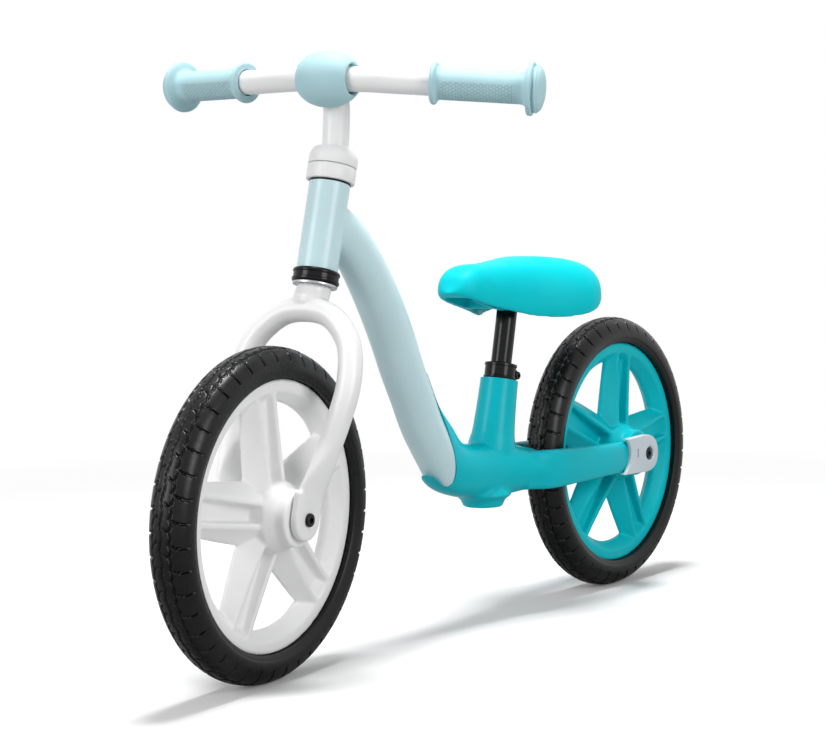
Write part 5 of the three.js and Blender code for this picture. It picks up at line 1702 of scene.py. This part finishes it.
@dataclass
class Frame:
    """The down tube with its head tube, and the body with the seat tube and stays."""

    layout: Layout
    tube: float = 20.6
    joint_height: float = 48
    foot: Pair = (-18, 154)
    bow: float = 16.9
    head_radius: float = 18.5
    head_length: float = 78.6
    head_bore: float = 16.2
    seat_radius: float = 19
    seat_flare: float = 5
    bore_depth: float = 112
    liner_radius: float = 12.9
    boss_radius: float = 20.5
    boss: Pair = (46.5, 113.8)
    stay_half_height: float = 18.8
    stay_end_half_height: float = 15.8
    stay_thickness: float = 15
    stay_lead: float = 52
    end_inner: float = 39.5
    end_thickness: float = 9
    end_radius: float = 15
    tyre_width: float = 39.4
    tyre_room: float = 7
    axle_hole: float = 5.3

    def top(self) -> Vector:
        """Where the down tube's line starts, on the steering axis."""
        return self.layout.head() @ Vector((0, 0, self.joint_height))

    def axle(self) -> Vector:
        """Centre of the rear axle."""
        return self.layout.rear_wheel().translation

    def room_front(self) -> float:
        """Y where the rear tyre's room begins."""
        return self.axle().y - self.layout.tyre_radius - self.tyre_room

    def along_tube(self, share: float, bow: float, half: float, above: float, below: float) -> Plank:
        """A section on the down tube's line.

        Args:
            share: Share of the way from the head tube to the foot.
            bow: Share of the line's greatest arch.
            half: Half width, in tube radii.
            above: Reach above the line, in tube radii.
            below: Reach below the line, in tube radii.

        Returns:
            The section.
        """
        top = self.top()
        run = Vector((0, *self.foot)) - top
        up = Vector((1, 0, 0)).cross(run).normalized()
        place = top + run * share + up * bow * self.bow
        return Plank(place.y, place.z, half * self.tube, above * self.tube, below * self.tube)

    def along_body(self, share: float, rise: float, half: float, above: float, below: float) -> Plank:
        """A section on the level part of the body, its sizes in tube radii."""
        y, z = mix(self.foot[0], self.room_front(), share), self.layout.tyre_radius + rise * self.tube
        return Plank(y, z, half * self.tube, above * self.tube, below * self.tube)

    @staticmethod
    def plank(sections: Sequence[Plank], exponent: float, steps: int, count: int) -> Form:
        """A tube through sections in the centre plane.

        Args:
            sections: The sections, from front to back.
            exponent: Squareness of the outline, 2 for round.
            steps: Rings along it.
            count: Points round it.

        Returns:
            The tube.
        """
        line = Line([(0, part.y, part.z) for part in sections])
        last = len(sections) - 1
        across = Vector((1, 0, 0))

        def sized(key: str, share: float) -> float:
            """A size read along the tube."""
            return profile_at([(k / last, getattr(part, key)) for k, part in enumerate(sections)], share)

        stations = []
        for i in range(steps + 1):
            share = i / steps
            ahead = line.along(share)
            up = across.cross(ahead).normalized()
            half, above, below = (sized(key, share) for key in ("half", "above", "below"))
            outline = [(x * half, y * (above if y > 0 else below)) for x, y in superellipse(1, 1, exponent, count)]
            stations.append(Station(outline, axes(across, up, -ahead, line.at(share))))
        return Form.lofted(stations)

    def tongue(self, grow: float) -> Form:
        """What lies ahead of the border between the down tube and the body.

        Args:
            grow: How far the border is moved back.

        Returns:
            A thick plate.
        """
        tube, (foot_y, foot_z) = self.tube, self.foot

        def at(y: float, z: float, back: float = 0, down: float = 0) -> Vector:
            """A corner, in tube radii from the down tube's foot."""
            return Vector((foot_y + tube * y + back, foot_z + tube * z - down, 0))

        head = self.layout.head().translation
        under = at(-2.04, 0.44)
        far, high = head.y - tube * 2.4, head.z + self.head_length * 1.5
        first = at(-2.33, 4.85, grow)
        second = at(-0.49, 0.19, grow)
        third = at(-0.78, -0.52, 0, grow)
        outline = [(far, high), (first.x + 50, high), (first.x + 50, first.y + 36), (first.x, first.y)]
        outline += cubic(first, at(-1.41, 3.01, grow), at(-0.58, 1.55, grow), second, 24)
        outline += cubic(second, at(-0.44, -0.49, grow, grow), at(-0.53, -0.63, grow, grow), third, 24)
        outline += [(under.x - grow, under.y - grow), (far, head.z - tube * 1.2)]
        return Form.plate_x(outline, -tube * 3, tube * 3)

    def front(self) -> Form:
        """The head tube and the down tube as one skin.

        Returns:
            The front half.
        """
        parts = [
            (0, 0.02, 0.79, 0.95, 0.95), (0.095, 0.76, 0.88, 1, 0.98), (0.185, 0.97, 0.95, 1.04, 1),
            (0.31, 1, 1, 1.08, 1), (0.475, 0.74, 1.02, 1.08, 1), (0.59, 0.4, 1.01, 1.05, 1),
            (0.69, 0.19, 1, 1.02, 1), (0.79, -0.05, 1, 1, 1), (0.876, -0.05, 1, 1, 1), (0.94, 0, 1, 1, 1),
            (1, 0, 1, 1, 1),
        ]
        tube = self.plank([self.along_tube(*part) for part in parts], 2, 90, 64)
        ball = Form()
        bmesh.ops.create_uvsphere(ball.bm, u_segments=48, v_segments=24, radius=self.tube)
        ball.moved(0, *self.foot)
        place = self.layout.head()
        head_tube = Form.rod(self.head_radius, -4, self.head_length + 4, 96).placed(place)
        form = tube.fused(1.2, 5, ball, head_tube)
        form.sliced(place @ Vector((0, 0, self.head_length)), place.to_3x3() @ Vector((0, 0, 1)))
        past = self.head_radius + 1.5
        bore = self.head_bore
        trimmed = Form.turned([(0, -past), (past, -past), (past, 0), (bore, 0), (bore, 99), (0, 99)], 96)
        return form.joined(Join.CUT, trimmed.placed(place)).joined(Join.COMMON, self.tongue(0))

    def socket(self) -> Form:
        """The seat post's socket, spreading onto the body.

        Returns:
            The socket.
        """
        r, flare, low = self.seat_radius, self.seat_flare, -self.bore_depth - 4
        return Form.turned([
            (0, low), (r, low), (r + flare, -78), (r + flare, -66), (r + flare * 0.82, -61), (r + flare * 0.55, -56),
            (r + flare * 0.38, -47), (r + flare * 0.2, -32), (r + flare * 0.08, -16), (r, -4), (r, 4), (0, 4),
        ], 80).placed(self.layout.seat())

    def boss_form(self) -> Form:
        """The round boss below the seat tube.

        Returns:
            The boss.
        """
        r = self.boss_radius
        return Form.turned([
            (0, 0), (r - 2.4, 0), (r - 1.2, 0.4), (r - 0.4, 1.2), (r, 2.4), (r + 0.5, 4.2), (r + 1.4, 6),
            (r + 2.5, 7.6), (r + 4, 9), (r + 8.5, 12), (r, 26), (0, 26),
        ], 80).moved(0, *self.boss)

    def stay(self, side: int) -> Form:
        """One stay from inside the body back to the axle plate.

        Args:
            side: 1 for the left and -1 for the right.

        Returns:
            The stay.
        """
        axle = self.axle()
        start, end = self.room_front() - self.stay_lead, axle.y - self.end_radius
        end_x = self.end_inner + self.end_thickness / 2
        half = self.stay_thickness / 2
        centre = [(0, 0.5), (0.147, 0.773), (0.295, 0.898), (0.558, 0.95), (0.821, 0.982), (1, 1)]
        tall, tall_end = self.stay_half_height, self.stay_end_half_height
        height = [(0, tall), (0.147, tall * 1.06), (0.31, tall), (0.8, tall_end * 1.04), (1, tall_end)]
        thick = [
            (0, half * 1.4), (0.295, half * 1.08), (0.69, half), (0.863, self.end_thickness * 0.57),
            (1, self.end_thickness / 2),
        ]
        stations = []
        for i in range(61):
            t = i / 60
            outline = superellipse(profile_at(thick, t), profile_at(height, t), 3.2, 48)
            place = Matrix(((1, 0, 0), (0, 0, -1), (0, 1, 0))).to_4x4()
            place.translation = (side * end_x * profile_at(centre, t), mix(start, end, t), axle.z)
            stations.append(Station(outline, place))
        return Form.lofted(stations)

    def stay_end(self, side: int) -> Form:
        """The flat axle plate of one stay.

        Args:
            side: 1 for the left, -1 for the right.

        Returns:
            The plate.
        """
        axle, r = self.axle(), self.end_radius
        ahead = axle.y - r * 1.6
        outline = [(ahead, axle.z - r), *half_round((axle.y, axle.z), r, -math.pi / 2), (ahead, axle.z + r)]
        low, high = sorted((side * self.end_inner, side * (self.end_inner + self.end_thickness)))
        return Form.plate_x(outline, low, high)

    def wheel_room(self) -> Form:
        """The space kept free for the rear tyre.

        Returns:
            The space as a form.
        """
        half = self.tyre_width / 2 + self.tyre_room - 2
        outer = self.layout.tyre_radius + self.tyre_room
        outline = [(0, -half), (outer - 9, -half)]
        for i in range(1, 10):
            angle = math.pi / 2 * i / 9
            outline.append((outer - 9 + 9 * math.sin(angle), -half + 12 * (1 - math.cos(angle))))
        outline += [(r, -x) for r, x in outline[:0:-1]] + [(0, half)]
        return Form.turned_x(outline, 192).placed(self.layout.rear_wheel())

    def rear(self) -> Form:
        """The body, seat tube, boss and stays as one skin.

        Returns:
            The rear half.
        """
        parts = [
            self.along_tube(0.62, 0.34, 1, 1.02, 1), self.along_tube(0.675, 0.21, 1, 1.02, 1),
            self.along_tube(0.73, 0.08, 1, 1.03, 1), self.along_tube(0.787, -0.06, 1, 1.19, 1.05),
            self.along_tube(0.874, -0.1, 1.02, 1.44, 1.13), self.along_tube(0.965, 0.03, 1.05, 1.51, 1.2),
            self.along_body(0.117, 0.39, 1.1, 1.34, 1.22), self.along_body(0.312, 0.24, 1.17, 1.31, 1.3),
            self.along_body(0.506, 0.15, 1.34, 1.39, 1.34), self.along_body(0.701, 0.05, 1.73, 1.22, 1.15),
            self.along_body(0.857, 0, 2.07, 1.02, 1),
        ]
        body = self.plank(parts, 2.2, 80, 64)
        sides = [part(side) for part in (self.stay, self.stay_end) for side in (1, -1)]
        form = body.fused(1.3, 6, self.socket(), self.boss_form(), *sides)
        form.sliced(Vector((0, 0, self.boss[1])), Vector((0, 0, -1)))
        bore, past = self.liner_radius + 0.3, self.seat_radius + 4
        deep = -self.bore_depth
        mouth = Form.turned([(0, deep), (bore, deep), (bore, 0), (past, 0), (past, 12), (0, 12)], 80)
        axle = Form.rod_x(self.axle_hole, -THROUGH, THROUGH).placed(self.layout.rear_wheel())
        return form.joined(Join.CUT, self.wheel_room(), mouth.placed(self.layout.seat()), axle, self.tongue(0.45))

    def build(self, shelf: Shelf) -> None:
        """Makes the two frame castings.

        Args:
            shelf: Where finished pieces go.
        """
        shelf.put(self.front(), Role("down_tube_casting", "frame", "pale_blue_paint", ("front_frame",), 38))
        shelf.put(self.rear(), Role("body_and_stays_casting", "frame", "turquoise_paint", ("rear_frame",), 38))


@dataclass
class StayCap:
    """A moulded cover over the outside of a stay's end."""

    axle: Vector
    inner: float = 48.8
    wall: float = 1.6
    lip: float = 4
    thickness: float = 3.6
    half_height: float = 19.2
    reach: float = 51
    hollow: float = 9
    tail: float = 17.5
    hole: float = 7.5
    slot: Point = (2, 9, 25.5)

    def outline(self, inset: float) -> list[Pair]:
        """Side view of the cap, drawn in by an inset.

        Args:
            inset: How far it is drawn in.

        Returns:
            Y and Z of each corner.
        """
        y, z = self.axle.y, self.axle.z
        top, bottom = z + self.half_height - inset, z - self.half_height + inset
        tail, front = y + self.tail - inset, y - self.reach
        start, end = Vector((front + 4 - inset, top)), Vector((front - 1 - inset, bottom + 1))
        middle = Vector((front + 4 + self.hollow * 2 - inset, z + 2))
        points = [tuple(start), *cubic(start, start.lerp(middle, 2 / 3), end.lerp(middle, 2 / 3), end, 24)]
        points.append((y - 8, bottom))
        half, back = self.half_height, self.tail
        lower = ((y - 8, bottom), (y + back * 0.6, bottom), (tail, z - half * 0.6), (tail, z))
        upper = ((tail, z), (tail, z + half * 0.7), (y + back * 0.4, top + 1.5), (y - 9, top + 1.5))
        for corners in (lower, upper):
            points += cubic(*(Vector(corner) for corner in corners), 16)
        return points

    def form(self, side: int) -> Form:
        """The cap on one side of the bike.

        Args:
            side: 1 for the left, -1 for the right.

        Returns:
            The cap.
        """
        x, y, z = self.inner, self.axle.y, self.axle.z
        outer = x + self.thickness
        shell = Form.plate_x(self.outline(0), x - self.lip, outer).bevelled(0.9, 4, 40)
        pocket = Form.plate_x(self.outline(self.wall), x - self.lip - 5, x)
        hole = Form.rod_x(self.hole, x - 1, outer + 1, 64).moved(0, y, z)
        floor, brim = outer - 0.8, outer + 0.4
        dish = Form.turned_x([(0, floor), (self.hole + 0.6, floor), (self.hole + 1.8, brim), (0, brim)], 64)
        width, length, ahead = self.slot
        slot = Form.block(
            (x - 1, y - ahead - width / 2, z - length * 0.2), (outer + 1, y - ahead + width / 2, z + length * 0.8)
        ).bevelled(0.5, 2)
        shell.joined(Join.CUT, pocket, hole, dish.moved(0, y, z), slot)
        return shell.placed(Matrix.Diagonal((side, 1, 1, 1)))

    def build(self, shelf: Shelf) -> None:
        """Makes both caps.

        Args:
            shelf: Where finished pieces go.
        """
        for side, name in ((1, "left"), (-1, "right")):
            role = Role(f"stay_cap_{name}_moulding", "frame", "pale_grey_plastic", (f"stay_cap_{name}",), 40)
            shelf.put(self.form(side), role)


# ---- Seat post and saddle ----


@dataclass
class SeatPost:
    """The seat post, its split liner and its clamp."""

    layout: Layout
    radius: float = 10.4
    wall: float = 1.8
    length: float = 168
    plate_z: float = 327
    liner_radius: float = 12.9
    liner_top: float = 17
    bore_depth: float = 112
    clamp_radius: float = 16.4
    clamp_height: float = 16
    slit: float = 2.4
    ear_half: float = 7
    ear_standout: float = 6
    clearance: float = 0.3

    def top(self) -> float:
        """Height of the post's top along its axis."""
        tilt = math.radians(self.layout.seat_tilt)
        return (self.plate_z - 1.5 - self.layout.seat_mouth[2]) / math.cos(tilt)

    def clamp(self) -> Form:
        """The clamp band with its ears, slit and bolt hole.

        Returns:
            The clamp on Z.
        """
        low, high, r = self.clearance, self.clearance + self.clamp_height, self.clamp_radius
        bore = self.liner_radius + self.clearance
        band = Form.turned([
            (bore, low), (r - 0.9, low), (r - 0.25, low + 0.25), (r, low + 0.9), (r, low + 2.6), (r - 0.7, low + 3.2),
            (r - 0.7, high - 3.2), (r, high - 2.6), (r, high - 0.9), (r - 0.25, high - 0.25), (r - 0.9, high),
            (bore, high),
        ], 96)
        back = r + self.ear_standout
        ears = Form.block((-self.ear_half, bore + 1, low + 1), (self.ear_half, back, high - 3)).bevelled(2.2, 4)
        gap = Form.block((-self.slit / 2, bore - 2, low - 1), (self.slit / 2, back + 6, high + 1))
        hole = Form.rod_x(2.8, -14, 14, 24).moved(0, *self.bolt_place())
        return band.joined(Join.ADD, ears).joined(Join.CUT, gap, hole)

    def bolt_place(self) -> Pair:
        """Y and Z of the clamp bolt in the seat tube's frame."""
        return self.clamp_radius + self.ear_standout / 2, self.clearance + self.clamp_height / 2 - 1

    def bolt(self) -> Form:
        """The clamp bolt and its nut.

        Returns:
            Both, in place in the clamp.
        """
        seat = self.ear_half + self.clearance
        foot, top = -seat - 1, seat + 2.6
        outline = [(0, foot), (2.5, foot), (2.5, seat), (4, seat), (4, seat + 1.9), (3.4, top), (0, top)]
        bolt = Form.turned_x(outline, 32).joined(Join.CUT, Form.rod_x(2, seat + 1, seat + 4, 6))
        nut = Form.rod_x(4, -seat - 2.6, -seat, 6).bevelled(0.3, 2)
        return bolt.joined(Join.ADD, nut).moved(0, *self.bolt_place())

    def build(self, shelf: Shelf) -> None:
        """Makes the post, liner, clamp and bolt.

        Args:
            shelf: Where finished pieces go.
        """
        seat, top = self.layout.seat(), self.top()
        low, r = top - self.length, self.radius
        post = Form.turned([
            (r - self.wall, low), (r - 0.4, low), (r, low + 0.4), (r, top - 0.4), (r - 0.4, top), (r - self.wall, top),
        ], 72)
        shelf.put(post, Role("seat_post_tube", "saddle", "black_paint", ("seat_post",)), seat)
        bore, rim, lip = r + 0.35, self.liner_radius, self.liner_top
        foot = self.clearance - self.bore_depth
        liner = Form.turned([(bore, foot), (rim, foot), (rim, lip - 0.4), (rim - 0.4, lip), (bore, lip)], 72)
        liner.joined(Join.CUT, Form.block((-1, 0, -10), (1, rim + 2, lip + 1)))
        shelf.put(liner, Role("seat_liner_sleeve", "frame", "black_steel", ("seat_tube_liner",)), seat)
        shelf.put(self.clamp(), Role("seat_clamp_band", "frame", "black_paint", ("seat_clamp",), 35), seat)
        shelf.put(self.bolt(), Role("seat_clamp_bolt_and_nut", "frame", "black_steel", ("seat_clamp_bolt",)), seat)


@dataclass
class Saddle:
    """A one-piece foam saddle over a ribbed base plate."""

    layout: Layout
    post: SeatPost
    length: float = 222
    half_width: float = 67
    nose_half_width: float = 24
    top_z: float = 361
    crown_fall: float = 38
    skirt_z: float = 299.5
    skirt_rise: float = 27
    nose_y: float = -12
    wall: float = 7
    floor: float = 26
    plate_z: float = 327
    rib_setback: float = 9
    base_setback: float = 8
    rib_spacing: float = 17
    rib_thickness: float = 3
    rib_shares: Pair = (0.26, 0.66)
    sleeve_wall: float = 5
    sleeve_length: float = 14
    post_room: float = 56
    clearance: float = 0.3

    def width_at(self, share: float) -> float:
        """Half width at a share of the length from the nose.

        Args:
            share: Place from nose to tail, 0 to 1.

        Returns:
            The half width.
        """
        nose, wide = self.nose_half_width, self.half_width
        return profile_at([
            (0, nose * 0.14), (0.015, nose * 0.46), (0.045, nose * 0.76), (0.1, nose), (0.28, nose * 1.22),
            (0.45, wide * 0.6), (0.6, wide * 0.86), (0.71, wide), (0.83, wide * 0.93), (0.93, wide * 0.68),
            (0.98, wide * 0.42), (1, wide * 0.2),
        ], share)

    def top_at(self, share: float) -> float:
        """Height of the crown at a share of the length.

        Args:
            share: Place from nose to tail, 0 to 1.

        Returns:
            The height.
        """
        high, fall = self.top_z, self.crown_fall
        return profile_at([
            (place, high - fall * drop) for place, drop in (
                (0, 0.84), (0.04, 0.46), (0.12, 0.2), (0.28, 0.15), (0.5, 0.03), (0.64, 0), (0.84, 0.16),
                (0.95, 0.53), (1, 1),
            )
        ], share)

    def skirt_at(self, share: float) -> float:
        """Height of the skirt's edge at a share of the length.

        Args:
            share: Place from nose to tail, 0 to 1.

        Returns:
            The height.
        """
        low, rise = self.skirt_z, self.skirt_rise
        return profile_at([
            (0, low + rise), (0.1, low + rise * 0.74), (0.2, low + rise * 0.52), (0.35, low + rise * 0.26),
            (0.46, low + rise * 0.08), (0.58, low), (0.7, low + rise * 0.085), (0.82, low + rise * 0.28),
            (1, low + rise * 0.67),
        ], share)

    def shell(self, wall: float, floor: float, slack: float, drop: float) -> Form:
        """The outer form, or with a wall the form of the hollow inside it.

        Args:
            wall: How far it is drawn in from the outside.
            floor: Foam above the hollow.
            slack: A further clearance all round.
            drop: How far the sides run on below the skirt's edge.

        Returns:
            The form.
        """
        stations = []
        trim = wall / self.length
        for i in range(65):
            share = mix(trim, 1 - trim, (1 - math.cos(math.pi * i / 64)) / 2)
            width = max(self.width_at(share) - wall, 2) - slack
            top = self.top_at(share) - floor - slack
            bottom = min(self.skirt_at(share), top - 2)
            outline = []
            for k in range(41):
                angle = math.pi * k / 40
                c, s = math.cos(angle), abs(math.sin(angle))
                x = width * math.copysign(abs(c) ** 0.62, c)
                outline.append((x, bottom + (top - bottom) * (0.15 + 0.85 * s**0.72)))
            outline += [(-width * 0.95, bottom - drop), (width * 0.95, bottom - drop)]
            place = Matrix(((1, 0, 0), (0, 0, -1), (0, 1, 0))).to_4x4()
            place.translation = (0, self.nose_y + share * self.length, 0)
            stations.append(Station(outline, place))
        return Form.lofted(stations)

    def cover(self) -> Form:
        """The foam cover with a soft edge."""
        hollow = self.shell(self.wall, self.floor, 0, self.wall)
        return self.shell(0, 0, 0, 0).joined(Join.CUT, hollow).fused(1.5, 14)

    def base(self) -> Form:
        """The base plate, its ribs and the sleeve that holds the post.

        Returns:
            The base.
        """
        low = self.skirt_z + self.rib_setback
        nose, rear = self.nose_y + self.wall, self.nose_y + self.length - self.wall
        wide, high = self.half_width * 1.2, self.top_z
        setback, half = self.base_setback, self.rib_thickness / 2
        inside = self.shell(self.wall, self.floor, 0.6, 0)
        inside.joined(Join.COMMON, Form.block((-wide, nose + setback, low), (wide, rear - setback, high)))
        parts = [Form.block((-wide, nose, self.plate_z), (wide, rear, high))]
        for x in (-self.rib_spacing, self.rib_spacing):
            parts.append(Form.block((x - half, nose, low), (x + half, rear, high)))
        for share in self.rib_shares:
            y = self.nose_y + self.length * share
            parts.append(Form.block((-wide, y - half, low), (wide, y + half, high)))
        seat, top, r = self.layout.seat(), self.post.top(), self.post.radius
        parts.append(Form.rod(r + self.sleeve_wall, top - self.sleeve_length, top + self.floor, 64).placed(seat))
        frame_work = parts[0].joined(Join.ADD, *parts[1:])
        gap = self.clearance
        bore = Form.rod(r + gap, top - self.post_room, top + gap, 64).placed(seat)
        return inside.joined(Join.COMMON, frame_work).joined(Join.CUT, bore)

    def build(self, shelf: Shelf) -> None:
        """Makes the cover and the base.

        Args:
            shelf: Where finished pieces go.
        """
        cover = shelf.put(self.cover(), Role("saddle_foam_cover", "saddle", "turquoise_foam", ("saddle_cover",), 70))
        shelf.put(self.base(), Role("saddle_base_moulding", "saddle", "turquoise_plastic", ("saddle_base",), 35))


# ---- Studio ----


@dataclass
class Camera:
    """The view of the bike, from its front left."""

    azimuth: float = 36.489
    elevation: float = 4.019
    roll: float = -0.6
    lens: float = 87.39
    place: Point = (1122.73, -1586.74, 393.0)

    def build(self) -> None:
        """Adds the camera and makes it the scene's own."""
        a, e, r = (math.radians(v) for v in (self.azimuth, self.elevation, self.roll))
        back = Vector((math.sin(a) * math.cos(e), -math.cos(a) * math.cos(e), math.sin(e)))
        right = Vector((math.cos(a), math.sin(a), 0))
        up = back.cross(right)
        turned = right * math.cos(r) + up * math.sin(r)
        upright = up * math.cos(r) - right * math.sin(r)
        camera = bpy.data.cameras.new("camera")
        camera.lens, camera.sensor_width = self.lens, 36
        camera.clip_start, camera.clip_end = 0.05, 50
        holder = added("camera", camera)
        holder.matrix_world = axes(turned, upright, back, Vector(self.place) * MM)
        bpy.context.scene.camera = holder


@dataclass(frozen=True)
class SoftBox:
    """A large soft lamp that looks at the bike."""

    name: str
    place: Point
    size: Pair
    watts: float
    aim: Point = (0, 0, 0.25)

    def build(self) -> None:
        """Adds the lamp."""
        lamp = bpy.data.lights.new(self.name, "AREA")
        lamp.shape = "RECTANGLE"
        lamp.size, lamp.size_y = self.size
        lamp.energy = self.watts
        holder = added(self.name, lamp)
        holder.location = self.place
        aim = Vector(self.aim) - Vector(self.place)
        holder.rotation_mode = "QUATERNION"
        holder.rotation_quaternion = aim.to_track_quat("-Z", "Y")


@dataclass
class Studio:
    """A white floor under soft light."""

    ambient: float = 0.28
    floor_size: float = 14
    floor_lift: float = 0.04
    floor_seen: float = 0.9
    floor_bounce: float = 0.4
    floor_fade: Pair = (0.75, 1.6)
    lamps: tuple[SoftBox, ...] = (
        SoftBox("overhead", (0.02, 0.05, 2.6), (0.55, 0.75), 58),
        SoftBox("left_of_view", (-1.0, -2.7, 1.3), (1.2, 1.6), 38),
        SoftBox("right_of_view", (2.7, -0.5, 1.3), (1.2, 1.6), 36),
    )

    def world(self) -> None:
        """A white surround that lights the bike at a plain level."""
        world = bpy.data.worlds.new("surround")
        bpy.context.scene.world = world
        n = Nodes.of(world)
        path = n.add("ShaderNodeLightPath").outputs
        seen = n.math("MAXIMUM", path["Is Camera Ray"], path["Is Glossy Ray"])
        seen = n.math("MAXIMUM", seen, path["Is Transmission Ray"])
        light = n.math("ADD", n.math("MULTIPLY", seen, 1 - self.ambient), self.ambient)
        sky = n.fill(n.add("ShaderNodeBackground"), {"Color": (1, 1, 1, 1), "Strength": light})
        n.fill(n.add("ShaderNodeOutputWorld"), {"Surface": sky.outputs[0]})

    def floor(self) -> None:
        """A large plain floor that keeps the bike's shadow."""
        form = Form()
        bmesh.ops.create_grid(form.bm, x_segments=2, y_segments=2, size=self.floor_size / 2)
        mesh = bpy.data.meshes.new("floor")
        form.bm.to_mesh(mesh)
        floor = added("floor", mesh)
        material = bpy.data.materials.new("studio_floor")
        n = Nodes.of(material)
        path = n.add("ShaderNodeLightPath").outputs
        dull, pale = ((grey, grey, grey, 1.0) for grey in (self.floor_bounce, self.floor_seen))
        colour = n.blend(path["Is Camera Ray"], dull, pale)
        matt = n.fill(n.add("ShaderNodeBsdfDiffuse"), {"Color": colour})
        glow = n.math("MULTIPLY", path["Is Camera Ray"], self.floor_lift)
        lift = n.fill(n.add("ShaderNodeEmission"), {"Strength": glow})
        near = n.fill(n.add("ShaderNodeAddShader"), {0: matt.outputs[0], 1: lift.outputs[0]})
        where = n.add("ShaderNodeTexCoord").outputs["Object"]
        reach = n.fill(n.add("ShaderNodeVectorMath", operation="LENGTH"), {0: where})
        seen = n.math("MAXIMUM", path["Is Camera Ray"], path["Is Glossy Ray"])
        far = n.math("MULTIPLY", n.ranged(reach.outputs["Value"], *self.floor_fade), seen)
        white = n.add("ShaderNodeEmission")
        shown = n.fill(n.add("ShaderNodeMixShader"), {0: far, 1: near.outputs[0], 2: white.outputs[0]})
        n.fill(n.add("ShaderNodeOutputMaterial"), {"Surface": shown.outputs[0]})
        mesh.materials.append(material)

    def build(self) -> None:
        """Sets up the world, floor, lamps and colour handling."""
        self.world()
        self.floor()
        for lamp in self.lamps:
            lamp.build()
        bpy.context.scene.view_settings.view_transform = "Standard"


def dress_carried_nodes(finishes: dict[str, bpy.types.Material]) -> None:
    """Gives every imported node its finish, also those that other pieces stand for.

    Args:
        finishes: Material by slot name.
    """
    slots = {part["node"]: part["material_slot"] for part in frame["record"]["subparts"]}
    for name, node in frame["nodes"].items():
        for slot in node.material_slots:
            slot.material = finishes[slots[name]]


def main() -> None:
    """Builds the bike's looks and the studio."""
    logging.basicConfig(level=logging.INFO, format="%(relativeCreated)7.0f ms  %(message)s")
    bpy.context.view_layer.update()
    effects = Effects()
    finishes = {slot: finish.material(effects) for slot, finish in FINISHES.items()}
    shelf = Shelf(finishes)
    layout = Layout()
    Camera().build()
    Fork(layout).build(shelf)
    Headset(layout).build(shelf)
    Handlebar(layout).build(shelf)
    Frame(layout).build(shelf)
    StayCap(layout.rear_wheel().translation).build(shelf)
    post = SeatPost(layout)
    post.build(shelf)
    Saddle(layout, post).build(shelf)
    mould = WheelMould()
    Wheel("front", layout.front_wheel(), "front_wheel", "steering", "white_plastic", 26, 45.8, mould).build(shelf)
    Wheel("rear", layout.rear_wheel(), "rear_wheel", "frame", "turquoise_plastic", 10, 48.5, mould).build(shelf)
    dress_carried_nodes(finishes)
    Studio().build()


if __name__ == "__main__":
    main()
